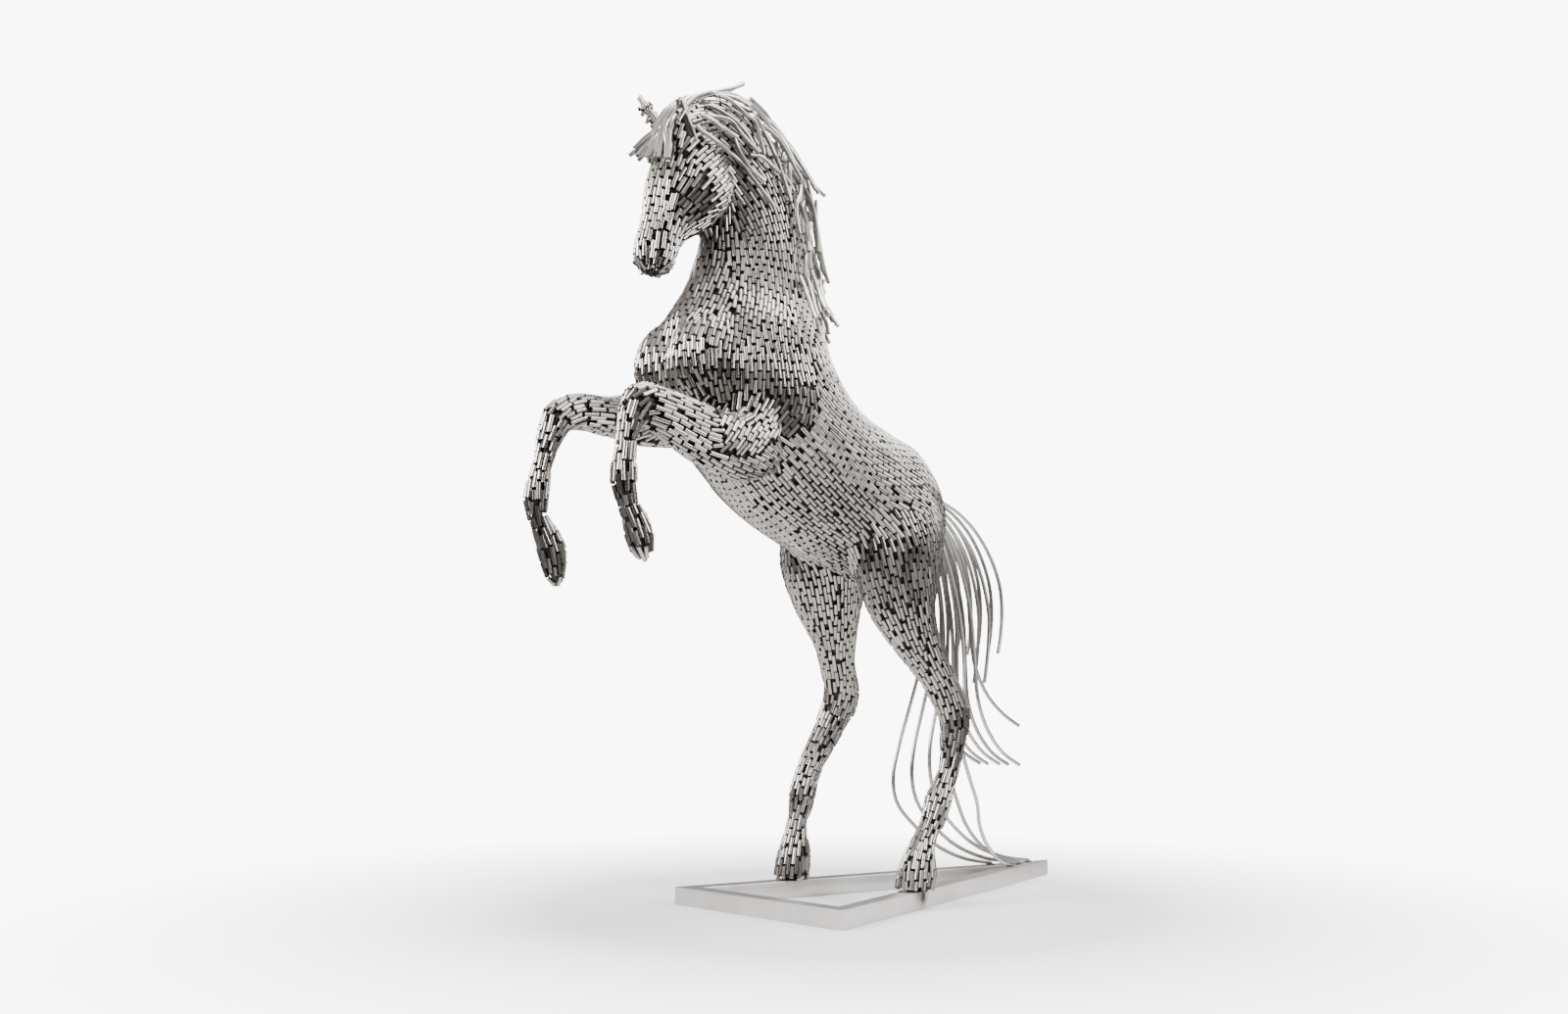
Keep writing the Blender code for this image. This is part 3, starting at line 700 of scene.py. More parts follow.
def settled(middles, lengths):
    """The eased rods laid flat again, without those that still cut deep into a neighbour."""
    final = Bed()
    for i in sorted(range(len(lengths)), key=lambda i: -lengths[i]):
        try_rod(final, middles[i], lengths[i], CUTTING)
    return final


def fill_gaps(bed, length, gap, points):
    """Offer a rod of this length at each of the points where none lies, and give those still bare."""
    rng.shuffle(points)
    left = []
    for index in points:
        place = FORM_POINTS[index]
        if is_bare(bed, index, place, gap) and try_rod(bed, place, length, gap) is None:
            left.append(index)
    return left


bed = settled(*ease_apart(bed.rods))
print("rods after easing:", len(bed.rods))
bare_points = list(range(len(FORM_POINTS)))
for offcut, squeeze in OFFCUTS:
    bare_points = fill_gaps(bed, offcut, squeeze * ROD_DIAMETER, bare_points)
    print("with offcuts of", offcut, "m:", len(bed.rods))
bed = settled(*ease_apart(bed.rods))
print("rods after easing again:", len(bed.rods))
for offcut, squeeze in OFFCUTS[1:]:
    fill_gaps(bed, offcut, squeeze * ROD_DIAMETER, list(range(len(FORM_POINTS))))
print("with the last offcuts:", len(bed.rods))

# %% [markdown]
# At the tip of the muzzle and under the hooves the rods meet the surface end on, so one looks
# into their open ends there. They are set upright side by side. The eye is the open end of one
# rod too, alone in a hollow where the lining's painted shade shows.

# %% Rods seen from their ends
PLUG_LENGTH = 0.03
PLUG_PITCH = 0.0128
PLUG_DEPTH = 0.002
PLUG_GAP = 0.6 * ROD_DIAMETER
PLUG_STEEPNESS = STEEPEST - 0.03
PLUG_LOWEST = LOWEST + 0.03


def add_plug(bed, place, outward, normal):
    """A short rod that ends at this place and points outward."""
    side = unit(np.cross(outward, (0.3, 0.9, 0.1)))
    middle = place - outward * (PLUG_LENGTH / 2) - normal * PLUG_DEPTH
    bed.rods.append((middle, outward, side, PLUG_LENGTH))


plug_spots = []
for index in np.argsort(-np.abs(end_on)):
    if abs(end_on[index]) < PLUG_STEEPNESS:
        break
    place, normal = FORM_POINTS[index], form_normals[index]
    outward = wish[index] * np.sign(end_on[index])
    if place[2] < PLUG_LOWEST or any(np.linalg.norm(place - spot) < PLUG_PITCH for spot in plug_spots):
        continue
    if is_bare(bed, index, place, PLUG_GAP):
        plug_spots.append(place)
        add_plug(bed, place, outward, normal)
for eye in EYES:
    nearest, normal = touch(eye)
    add_plug(bed, nearest + normal * PLUG_DEPTH, normal, normal)
print("rods seen from their ends:", len(plug_spots) + len(EYES))

# %% [markdown]
# The rod itself is modelled once. A cylinder of eight flats is enough for something this small,
# because smooth shading rounds it. Its ends are inset and pushed in, so that a cut end shows a
# rim and a hole, as a piece of thick pipe does. The hole gets a near-black material, painted shade
# for the dark inside the pipe.

# %% One rod
ROD_SIDES = 8
ROD_RIM = 0.0016
ROD_HOLE = 0.004
RIM_EDGE = 0.0003


def model_rod():
    bpy.ops.mesh.primitive_cylinder_add(vertices=ROD_SIDES, radius=ROD_RADIUS, depth=1, location=(0, 0, 0))
    rod = bpy.context.object
    rod.name = "one_rod"
    rod.data.materials.append(None)
    rod.data.materials.append(None)
    cut_ends(rod, ROD_RIM, ROD_HOLE)
    return rod


def cut_ends(piece, rim, depth):
    """Give every flat end of a rod a rim and a hole. The piece's second material paints shade in the hole.
    """
    choose(piece)
    bpy.context.tool_settings.mesh_select_mode = (False, False, True)
    bpy.ops.object.mode_set(mode="EDIT")
    bpy.ops.mesh.select_all(action="DESELECT")
    bpy.ops.object.mode_set(mode="OBJECT")
    for face in piece.data.polygons:
        face.select = len(face.vertices) > 4
    bpy.ops.object.mode_set(mode="EDIT")
    bpy.ops.mesh.inset(thickness=rim, depth=0, use_individual=True)
    bpy.ops.mesh.inset(thickness=RIM_EDGE, depth=-depth, use_individual=True)
    bpy.ops.object.mode_set(mode="OBJECT")
    # The floor and walls of the hole take the second material, which is painted shade.
    for face in piece.data.polygons:
        if len(face.vertices) > 4:
            face.material_index = 1
    # The walls of the hole are the quads that touch its floor.
    floor = {v for face in piece.data.polygons if len(face.vertices) > 4 for v in face.vertices}
    for face in piece.data.polygons:
        if len(face.vertices) == 4 and len(floor.intersection(face.vertices)) == 2:
            face.material_index = 1


rod_model = model_rod()
print("one rod has", len(rod_model.data.polygons), "faces")

# %% [markdown]
# Five thousand rods as five thousand objects would be slow, so the model's points are repeated
# with numpy, once for each rod, into one mesh for each part of the horse. Each rod gets a number
# called tone, which its material reads, so that no two neighbours are quite the same grey. A
# welder never lays two rods quite alike either, so each is tilted and shifted by a hair.

# %% Stamping rods into meshes
TILT = 0.018
TURN = 0.012
RAISE = 0.0007


def stamp(name, rods, model):
    """One mesh with a copy of the model for each rod: its middle, axis, normal and length."""
    shape = points_of(model)
    faces = [tuple(face.vertices) for face in model.data.polygons]
    corners = np.concatenate([np.array(face) for face in faces])
    sizes = np.array([len(face) for face in faces])
    holes = np.array([face.material_index for face in model.data.polygons])
    count, step = len(rods), len(shape)
    cap = np.sign(shape[:, 2])
    inner = shape[:, 2] - cap * 0.5
    places = np.empty((count, step, 3))
    for i, (middle, axis, normal, length) in enumerate(rods):
        side = np.cross(normal, axis)
        height = cap * length / 2 + inner
        places[i] = middle + np.outer(shape[:, 0], side) + np.outer(shape[:, 1], normal)
        places[i] += np.outer(height, axis)
    mesh = bpy.data.meshes.new(name)
    mesh.vertices.add(count * step)
    mesh.vertices.foreach_set("co", places.ravel())
    mesh.loops.add(count * len(corners))
    shifts = np.repeat(np.arange(count) * step, len(corners))
    mesh.loops.foreach_set("vertex_index", (np.tile(corners, count) + shifts).astype(np.int32))
    mesh.polygons.add(count * len(faces))
    starts = np.concatenate(([0], np.cumsum(np.tile(sizes, count))[:-1]))
    mesh.polygons.foreach_set("loop_start", starts.astype(np.int32))
    mesh.polygons.foreach_set("material_index", np.tile(holes, count).astype(np.int32))
    mesh.update(calc_edges=True)
    mesh.validate()
    tone = mesh.attributes.new("tone", "FLOAT", "POINT")
    tones = [rng.random() for _ in range(count)]
    tone.data.foreach_set("value", np.repeat(tones, step).astype(np.float32))
    piece = new_piece(name, mesh)
    bpy.ops.object.shade_smooth_by_angle(angle=math.radians(60))
    return piece


def nudged(rod):
    """The rod as a hand would lay it: tilted, turned and raised by a hair."""
    middle, axis, normal, length = rod
    across = np.cross(normal, axis)
    axis = unit(axis + normal * rng.gauss(0, TILT) + across * rng.gauss(0, TURN))
    normal = unit(normal - axis * (normal @ axis))
    middle = middle + normal * rng.uniform(-RAISE, RAISE)
    return middle, axis, normal, length + rng.uniform(-0.002, 0.0015)


def part_of_horse(middle):
    """Which of the horse's parts a rod belongs to."""
    forward, left, up = to_grid(middle)
    if on_head(forward, up):
        return "head_rods"
    side = "left" if left > 0 else "right"
    if forward > 34 and up < 136:
        return side + "_foreleg_rods"
    if forward < -20 and up < 88:
        return side + "_hind_leg_rods"
    if up > 158:
        return "neck_rods"
    if forward > -8:
        return side + "_shoulder_rods"
    return side + "_haunch_rods"


bunches = {}
for rod in bed.rods:
    bunches.setdefault(part_of_horse(rod[0]), []).append(nudged(rod))
skin_pieces = [stamp(name, bunches[name], rod_model) for name in sorted(bunches)]
for piece in skin_pieces:
    print(piece.name, len(bunches[piece.name]), "rods")

# %% [markdown]
# Between the rods one looks into the shaded inside of the horse. A lining just under the rods,
# painted near black as painted shade, stands for that darkness, and keeps the far side's rods from
# showing through. It is the form again, moved inwards by a little more than a rod's thickness, and
# less where the form is thin.

# %% Lining of painted shade
LINING_DEPTH = 0.0135
DEEPEST_SHARE = 0.42


def sink_lining(piece):
    places = points_of(piece)
    for i, (place, normal) in enumerate(zip(places, points_of(piece, "normal"))):
        inward = Vector(-normal)
        hit, _, _, distance = form_tree.ray_cast(Vector(place) + inward * 0.001, inward)
        depth = min(LINING_DEPTH, DEEPEST_SHARE * distance) if hit else LINING_DEPTH
        places[i] = place - normal * depth
    move_points(piece, places)


lining = form
lining.name = lining.data.name = "painted_shade_lining"
sink_lining(lining)
apply_modifier(lining, "SMOOTH", factor=0.5, iterations=3)
apply_modifier(lining, "DECIMATE", ratio=0.25)
lining.data.shade_smooth()
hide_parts("horse_rod_skin")
print("the lining has", len(lining.data.polygons), "faces")

# %% [markdown]
# An ear is a little cone of rods whose front is open on a hollow, filled with a cone painted
# near black as painted shade. The rods stand in courses round the ear's middle line, fewer in each,
# and reach past one another so that the tip is ragged.

# %% Ears
EARS = {
    "left": [(31.0, 5.8, 207.2), (33.4, 6.7, 210.8), (35.4, 7.6, 213.9), (36.7, 8.3, 216.4)],
    "right": [(31.0, -5.6, 212.0), (33.6, -6.6, 215.4), (36.2, -7.6, 219.2), (38.4, -8.6, 222.6)],
}
# Each course: its share of the way up, its radius, its number of rods and their length.
EAR_COURSES = ((0.10, 0.0175, 7, 0.046), (0.42, 0.0125, 6, 0.042), (0.80, 0.0062, 3, 0.034))
EAR_OPENING = 130
EAR_FACING = (0.75, 0.65, 0.0)
EAR_LEAN = 0.14


def ear_frame(side):
    """The ear's middle line, its direction and the way its opening looks."""
    line = np.array([from_grid(*place) for place in EARS[side]])
    axis = unit(line[-1] - line[0])
    faces = np.array(EAR_FACING) * (1, 1 if side == "left" else -1, 1)
    return line, axis, unit(faces - axis * (faces @ axis))


def ear_rods(side):
    line, axis, front = ear_frame(side)
    across = np.cross(axis, front)
    rods = []
    for share, radius, count, length in EAR_COURSES:
        centre = line[0] + (line[-1] - line[0]) * share
        for k in range(count):
            turn = math.radians(EAR_OPENING / 2 + (360 - EAR_OPENING) * (k + 0.5) / count)
            away = front * math.cos(turn) + across * math.sin(turn)
            shift = axis * rng.uniform(-0.004, 0.006)
            rods.append((centre + away * radius + shift, unit(axis - away * EAR_LEAN), away, length))
    return rods


def ear_shade_cone(side):
    """A cone painted near black inside the ear: painted shade."""
    line, axis, _ = ear_frame(side)
    middle = (line[0] + line[-1]) / 2 - axis * 0.006
    turn = Vector(axis).to_track_quat("Z", "Y").to_euler()
    bpy.ops.mesh.primitive_cone_add(vertices=14, radius1=0.0155, radius2=0.004, depth=0.088,
                                    location=middle, rotation=turn)
    choose(bpy.context.object)
    bpy.ops.object.transform_apply(location=True, rotation=True, scale=True)
    bpy.context.object.name = side + "_ear_hollow"
    return bpy.context.object


ear_pieces = []
for side in EARS:
    rods = [nudged(rod) for rod in ear_rods(side)]
    ear_pieces.append(stamp(side + "_ear_rods", rods, rod_model))
ear_shade_cones = [ear_shade_cone(side) for side in EARS]
print("ear rods:", [len(piece.data.polygons) // len(rod_model.data.polygons) for piece in ear_pieces])

# %% [markdown]
# The long bent rods of the forelock, mane and tail are already in the CAD as tubes of six flats.
# Each one's middle line is found from its rings of points, and a round rod is swept along it.
# The real hair has about twice as many rods as the CAD carries, so more are laid between them.

# %% Middle lines of the bent rods
HAIR_RADIUS = 0.00625
# The points of one ring are nearer to each other than this, and the rings are farther apart.
RING_REACH = 0.0085


def joined(count, pairs):
    """For each of this many points, the number of the group that the pairs join it to."""
    owner = list(range(count))

    def root(i):
        while owner[i] != i:
            owner[i] = owner[owner[i]]
            i = owner[i]
        return i

    for a, b in pairs:
        owner[root(a)] = root(b)
    return [root(i) for i in range(count)]


def middle_line(node):
    """The centres of a bent rod's rings of points, in order from one end to the other."""
    piece = copy_of_node(node, "ring_reader")
    places = points_of(piece)
    edges = [tuple(edge.vertices) for edge in piece.data.edges]
    data = piece.data
    bpy.data.objects.remove(piece)
    bpy.data.meshes.remove(data)
    short = [(a, b) for a, b in edges if np.linalg.norm(places[a] - places[b]) < RING_REACH]
    ring = joined(len(places), short)
    groups = {}
    for i, key in enumerate(ring):
        groups.setdefault(key, []).append(i)
    links = {key: set() for key in groups}
    for a, b in edges:
        if ring[a] != ring[b]:
            links[ring[a]].add(ring[b])
            links[ring[b]].add(ring[a])
    order = [min(key for key in links if len(links[key]) == 1)]
    while True:
        onward = [key for key in links[order[-1]] if key not in order]
        if not onward:
            break
        order.append(onward[0])
    return np.array([places[groups[key]].mean(0) for key in order])


def smooth_line(line, count):
    """The line with this many points, on a smooth curve through its own."""
    line = np.array(line, float)
    made = []
    for i in range(count):
        span = min(i / (count - 1), 0.999999) * (len(line) - 1)
        start = int(span)
        t = span - start
        a, b = line[max(start - 1, 0)], line[start]
        c, d = line[start + 1], line[min(start + 2, len(line) - 1)]
        made.append(0.5 * (2 * b + (c - a) * t + (2 * a - 5 * b + 4 * c - d) * t ** 2
                           + (3 * b - a - 3 * c + d) * t ** 3))
    return np.array(made)


HAIR_NODES = {
    kind: sorted(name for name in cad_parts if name.startswith(kind + "_rod"))
    for kind in ("forelock", "mane", "tail")
}
HAIR_LINES = {kind: [middle_line(node) for node in nodes] for kind, nodes in HAIR_NODES.items()}
print("bent rods:", {kind: [len(line) for line in lines][:6] for kind, lines in HAIR_LINES.items()})

# %% Extra bent rods between them
HAIR_POINTS = 26


def between(first, second, start, end, lift, slide):
    """A rod that runs between two others, from nearer one to nearer the other, lifted off the form."""
    first, second = smooth_line(first, HAIR_POINTS), smooth_line(second, HAIR_POINTS)
    made = []
    for i in range(HAIR_POINTS):
        t = i / (HAIR_POINTS - 1)
        share = start + (end - start) * t
        place = first[i] * (1 - share) + second[i] * share
        nearest, normal = touch(place)
        wanted = lift + slide * t * t
        made.append(place + normal * max(0.0, wanted - (place - nearest) @ normal))
    return np.array(made)


def extra_rods(kind, pairs, lift, slide):
    lines = HAIR_LINES[kind]
    made = []
    for a, b in pairs:
        start, end = rng.uniform(0.1, 0.5), rng.uniform(0.5, 0.95)
        made.append(between(lines[a], lines[b], start, end, lift + rng.uniform(0, 0.004), slide))
    return made


# Rods that lie over the left of the neck, from behind the ear to the withers: forward, left, up.
NEAR_MANE = [
    [(31, 9, 210), (24, 9, 207), (16, 9, 205), (11, 10, 200), (8, 11, 197), (4, 12, 193)],
    [(28, 7, 214), (22, 8, 213), (16, 9, 211)],
    [(26, 7, 215), (19, 8, 215), (15, 9, 212), (9, 10, 208)],
    [(24, 6, 219), (20, 7, 217), (16, 9, 215), (12, 9, 212), (9, 10, 208)],
    [(18, 4, 223), (14, 8, 219), (10, 9, 217), (8, 10, 211), (7, 10, 208)],
    [(9, 5, 222), (9, 8, 218), (5, 10, 212), (2, 10, 207)],
    [(18, 2, 224), (11, 4, 223), (3, 6, 221)],
    [(2, 5, 223), (-1, 7, 220), (0, 8, 215), (1, 10, 209)],
    [(-1, 4, 222), (-4, 6, 218), (-2, 9, 212), (0, 10, 208)],
    [(17, 9, 211), (14, 9, 206), (12, 10, 203), (7, 11, 200)],
    [(12, 10, 207), (8, 10, 207), (4, 11, 205), (-1, 11, 203), (-4, 11, 200)],
    [(9, 9, 216), (5, 9, 213), (3, 10, 209), (1, 11, 204), (-2, 12, 196)],
    [(-4, 5, 221), (-6, 7, 215), (-4, 10, 208), (-3, 11, 202), (-1, 12, 196)],
    [(-6, 5, 220), (-9, 6, 215), (-10, 7, 210), (-11, 8, 204), (-13, 9, 199)],
    [(-10, 7, 206), (-7, 10, 200), (-4, 12, 195), (-5, 12, 187)],
    [(-12, 7, 202), (-8, 10, 196), (-6, 12, 190)],
    [(-8, 3, 221), (-13, 3, 216), (-16, 4, 210), (-17, 5, 203), (-19, 6, 196)],
    [(-11, 10, 192), (-9, 11, 186), (-13, 10, 183), (-18, 9, 178), (-19, 9, 173)],
    [(-11, 10, 184), (-8, 12, 179), (-8, 13, 172)],
    [(-18, 6, 182), (-18, 8, 178), (-14, 10, 171), (-12, 12, 164)],
    [(-21, 5, 175), (-20, 7, 170), (-17, 10, 160)],
    [(-22, 4, 177), (-23, 5, 171), (-23, 6, 166), (-26, 7, 160)],
]

# Rods that stand free of the skin: over the brow, over the poll and along the crest.
FREE_FORELOCK = [
    [(27, 0, 220), (33, 1, 215), (36, -1, 211), (39, -3, 208), (41.5, -5, 204.5)],
    [(27.5, 1, 219), (33.5, 2, 213.5), (36, 0, 209.5), (39, -2, 205.5), (41, -4, 202.5)],
    [(28, 2, 218), (34, 3, 212), (36, 1, 208), (39, -1, 204), (41.5, -3, 200.5)],
    [(30.5, 4, 216.5), (35, 5, 212), (36.5, 4, 208.5), (38, 3, 205), (40.5, 3, 201)],
    [(31, 5, 215.5), (35.5, 6, 211), (36.5, 6, 207), (37.5, 6, 203), (38.5, 6, 198)],
    [(29.5, 3, 217), (34.5, 4, 212.5), (36.5, 3, 209), (38.5, 2, 205.5), (40, 1, 202.5)],
]
FREE_MANE = [
    [(27, 2, 219.5), (21.5, 2, 224), (18, 2, 226.5), (11, 2, 230), (7, 2, 232.5)],
    [(24.5, 2, 221.5), (19.5, 2, 225), (12, 2, 227.5), (5.5, 2, 227.5)],
    [(22, 2, 223), (16, 2, 226.5), (9.5, 2, 228), (4, 2, 226.5), (-2, 2, 224)],
    [(20, 1, 225), (12, 0, 228), (4, 0, 228), (-4, 1, 225), (-10, 2, 220)],
    [(16, 3, 225), (8, 3, 227), (0, 3, 225), (-7, 4, 220)],
    [(10, 4, 226), (2, 5, 224), (-5, 6, 219), (-9, 7, 213)],
    [(-11, 2, 220), (-16, 2, 216), (-18, 2, 211), (-18, 2, 206), (-20, 2, 203), (-23, 2, 197)],
    [(-23, 2, 190), (-23, 2, 185), (-25, 2, 181), (-27, 2, 176)],
    [(-25, 2, 180), (-26, 2, 176), (-27, 2, 171), (-26, 2, 166), (-29, 2, 161)],
]

# How high such rods lie over the form: each next one is a layer higher, until it starts again.
LAYERS = 3
FREE_LIFT = 0.007
FREE_LAYER = 0.004
NECK_LIFT = 0.0068
NECK_LAYER = 0.003
NECK_ARCH = 0.007
TIP_LIFT = 0.006


def lifted(line, least):
    """The line with every point at least this far above the form."""
    made = []
    for place in line:
        nearest, normal = touch(place)
        made.append(place + normal * max(0.0, least - (place - nearest) @ normal))
    return np.array(made)


def smooth_route(route):
    return smooth_line([from_grid(*spot) for spot in route], HAIR_POINTS)


def free_rod(route, number):
    return lifted(smooth_route(route), FREE_LIFT + FREE_LAYER * (number % LAYERS))


def laid_on_neck(route, number):
    """A bent rod laid over the rods of the neck: welded at its root, its tip lifted."""
    made = []
    for i, place in enumerate(smooth_route(route)):
        t = i / (HAIR_POINTS - 1)
        nearest, normal = touch(place)
        lift = NECK_LIFT + NECK_ARCH * math.sin(math.pi * t) + TIP_LIFT * t ** 3
        lift += NECK_LAYER * (number % LAYERS)
        height = (place - nearest) @ normal
        made.append(nearest + normal * min(max(height, lift), lift + TIP_LIFT))
    return np.array(made)


# The mane's CAD rods come in threes along the crest, and a rod is laid between each of them and its
# like in the next three. Beside two of them none is laid.
LONE_MANE_RODS = {9, 12}
mane_pairs = [(number, number + 3) for number in range(21)]
mane_pairs = [pair for pair in mane_pairs if not LONE_MANE_RODS.intersection(pair)]
extras = {
    "forelock": extra_rods("forelock", [(number, number + 1) for number in range(4)], 0.012, 0.010),
    "mane": extra_rods("mane", mane_pairs, 0.015, 0.022),
    "tail": [],
}
extras["mane"] += [laid_on_neck(route, number) for number, route in enumerate(NEAR_MANE)]
extras["mane"] += [free_rod(route, number) for number, route in enumerate(FREE_MANE)]
extras["forelock"] += [free_rod(route, number) for number, route in enumerate(FREE_FORELOCK)]
print("extra bent rods:", {kind: len(lines) for kind, lines in extras.items()})

# %% Sweeping the bent rods
HAIR_RIM = 0.0012
HAIR_HOLE = 0.003


def sweep(name, lines):
    """Round rods along the lines, as one mesh with a tone for each rod."""
    curve = bpy.data.curves.new(name, "CURVE")
    curve.dimensions = "3D"
    curve.bevel_depth = HAIR_RADIUS
    curve.bevel_resolution = 3
    curve.use_fill_caps = True
    for line in lines:
        spline = curve.splines.new("POLY")
        spline.points.add(len(line) - 1)
        spline.points.foreach_set("co", np.c_[line, np.ones(len(line))].ravel())
    new_piece(name, curve)
    bpy.ops.object.convert(target="MESH")
    piece = bpy.context.object
    piece.data.materials.clear()
    piece.data.materials.append(None)
    piece.data.materials.append(None)
    cut_ends(piece, HAIR_RIM, HAIR_HOLE)
    bpy.ops.object.shade_smooth_by_angle(angle=math.radians(50))
    return piece


def number_rods(piece):
    """Give the points of each separate rod of the mesh one tone."""
    owner = joined(len(piece.data.vertices), [edge.vertices for edge in piece.data.edges])
    tones = {}
    values = [tones.setdefault(key, rng.random()) for key in owner]
    tone = piece.data.attributes.new("tone", "FLOAT", "POINT")
    tone.data.foreach_set("value", np.array(values, np.float32))


hair_pieces = []
for kind, lines in HAIR_LINES.items():
    smooth = [smooth_line(line, 3 * len(line)) for line in lines]
    if kind != "tail":
        smooth = [lifted(line, HAIR_RADIUS + 0.0005) for line in smooth]
    piece = sweep(kind + "_rods", smooth)
    number_rods(piece)
    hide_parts(*HAIR_NODES[kind])
    hair_pieces.append(piece)
    if extras[kind]:
        more = sweep(kind + "_upper_rods", extras[kind])
        number_rods(more)
        hair_pieces.append(more)
print("hair pieces:", [(piece.name, len(piece.data.polygons)) for piece in hair_pieces])

# %% [markdown]
# The base is square tube. Real tube has slightly rounded edges, which catch a thin line of light,
# so the long edges of each rail's copy are bevelled. The mitred ends stay sharp, and the hair's
# breadth between them shows as the dark line of the joint.

# %% Rails
RAIL_EDGE = 0.0022
SHORTEST_LONG_EDGE = 0.3
RAIL_NODES = ("base_front_rail", "base_left_rail", "base_right_rail")


def make_rail(node):
    rail = copy_of_node(node, node + "_tube")
    choose(rail)
    bpy.context.tool_settings.mesh_select_mode = (False, True, False)
    bpy.ops.object.mode_set(mode="EDIT")
    bpy.ops.mesh.select_all(action="SELECT")
    bpy.ops.mesh.tris_convert_to_quads(face_threshold=math.radians(1), shape_threshold=math.pi)
    bpy.ops.mesh.dissolve_limited(angle_limit=math.radians(1))
    bpy.ops.mesh.select_all(action="DESELECT")
    bpy.ops.object.mode_set(mode="OBJECT")
    for edge in rail.data.edges:
        a, b = (rail.data.vertices[v].co for v in edge.vertices)
        edge.select = (a - b).length > SHORTEST_LONG_EDGE
    bpy.ops.object.mode_set(mode="EDIT")
    bpy.ops.mesh.bevel(offset=RAIL_EDGE, segments=3, affect="EDGES")
    bpy.ops.object.mode_set(mode="OBJECT")
    bpy.ops.object.shade_smooth_by_angle(angle=math.radians(35))
    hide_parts(node)
    return rail


rail_pieces = [make_rail(node) for node in RAIL_NODES]
print("rails:", [len(rail.data.polygons) for rail in rail_pieces])

# %% [markdown]
# Every joint is welded. Where the tail's rods and the hooves meet the tube, beads of weld stand
# dark and a little lumpy on it. One bead is modelled as a squashed sphere with its points moved
# about, and copied to each place.

# %% Weld beads
HOOF_BEADS = [(-38, 20.6), (-44.5, 22.8), (-49.5, 18.8), (-31.5, -22.6), (-36.5, -24), (-41, -21)]
HOOF_BEAD_SIZE = 0.013
TAIL_BEAD_SIZE = 0.010
TAIL_BEAD_SHIFTS = (-0.006, 0.004)
BEAD_LUMPS = 0.16
BEAD_FLATNESS = 0.45
# Where the last five rods of the tail touch the tube: the lowest point of each.
TAIL_WELDS = [line[np.argmin(line[:, 2])] for line in HAIR_LINES["tail"][15:]]


def make_beads():
    spots = [(x + shift, y, TAIL_BEAD_SIZE) for x, y, _ in TAIL_WELDS for shift in TAIL_BEAD_SHIFTS]
    spots += [(FRONT + forward * UNIT, left * UNIT, HOOF_BEAD_SIZE) for forward, left in HOOF_BEADS]
    beads = []
    for x, y, size in spots:
        bpy.ops.mesh.primitive_ico_sphere_add(subdivisions=3, radius=size, location=(x, y, TUBE_TOP))
        bead = bpy.context.object
        for vertex in bead.data.vertices:
            wave = math.sin(vertex.co.x * 900 + x * 77) * math.sin(vertex.co.y * 800 + y * 91)
            vertex.co *= 1 + BEAD_LUMPS * wave
            vertex.co.z *= BEAD_FLATNESS
        bead.data.shade_smooth()
        beads.append(bead)
    choose(beads[0])
    for bead in beads:
        bead.select_set(True)
    bpy.ops.object.join()
    bpy.ops.object.transform_apply(location=True, rotation=True, scale=True)
    joined = bpy.context.object
    joined.name = "weld_beads"
    return joined


weld_beads = make_beads()
print("weld beads:", len(weld_beads.data.polygons), "faces")

# %% [markdown]
# Shader maths reads best as ordinary sums. The small class below wraps the output of a node, and
# each sum on it adds the Math node that does it. Every other node comes from Finish.add, which
# takes the node's type, its settings and what goes into its sockets.

# %% Writing materials as sums


class Wire:
    """The output of a node, on which sums can be written."""

    def __init__(self, finish, socket):
        self.finish = finish
        self.socket = socket

    def sum(self, operation, other):
        return self.finish.add("ShaderNodeMath", {"operation": operation}, {0: self, 1: other})

    def __add__(self, other):
        return self.sum("ADD", other)

    def __mul__(self, other):
        return self.sum("MULTIPLY", other)

    __radd__ = __add__


class Finish:
    """A material in the making."""

    def __init__(self, name, fixed):
        self.material = bpy.data.materials.new(name)
        self.material.use_nodes = True
        self.tree = self.material.node_tree
        self.shader = self.tree.nodes["Principled BSDF"]
        for socket, value in fixed.items():
            self.shader.inputs[socket].default_value = value
        self.place = self.add("ShaderNodeTexCoord", {}, {}, "Object")

    def feed(self, socket, value):
        if isinstance(value, Wire):
            self.tree.links.new(value.socket, socket)
        else:
            socket.default_value = value

    def add(self, kind, settings, inputs, output=0):
        node = self.tree.nodes.new(kind)
        for name, value in settings.items():
            if name == "stops":
                self.set_stops(node.color_ramp, value)
            else:
                setattr(node, name, value)
        for name, value in inputs.items():
            self.feed(node.inputs[name], value)
        return Wire(self, node.outputs[output])

    def set_stops(self, stops, wanted):
        while len(stops.elements) < len(wanted):
            stops.elements.new(0.5)
        for element, (place, grey) in zip(stops.elements, wanted):
            element.position = place
            element.color = (grey, grey, grey, 1)

    def noise(self, scale, detail=3.0, stretch=None):
        where = self.place
        if stretch:
            where = self.add("ShaderNodeMapping", {}, {"Vector": where, "Scale": stretch})
        return self.add("ShaderNodeTexNoise", {}, {"Vector": where, "Scale": scale, "Detail": detail})

    def levels(self, value, stops):
        """The value passed through a ramp of greys."""
        return self.add("ShaderNodeValToRGB", {"stops": stops}, {0: value})

    def mix(self, share, first, second):
        """A colour between two, by the share."""
        return self.add("ShaderNodeMix", {"data_type": "RGBA"}, {0: share, 6: first, 7: second}, 2)

    def attribute(self, name):
        return self.add("ShaderNodeAttribute", {"attribute_name": name}, {}, "Fac")

    def bump(self, height, strength, distance):
        inputs = {"Height": height, "Strength": strength, "Distance": distance}
        return self.add("ShaderNodeBump", {}, inputs, "Normal")

    def finish(self, **sockets):
        for name, value in sockets.items():
            self.feed(self.shader.inputs[name.replace("_", " ")], value)
        return self.material


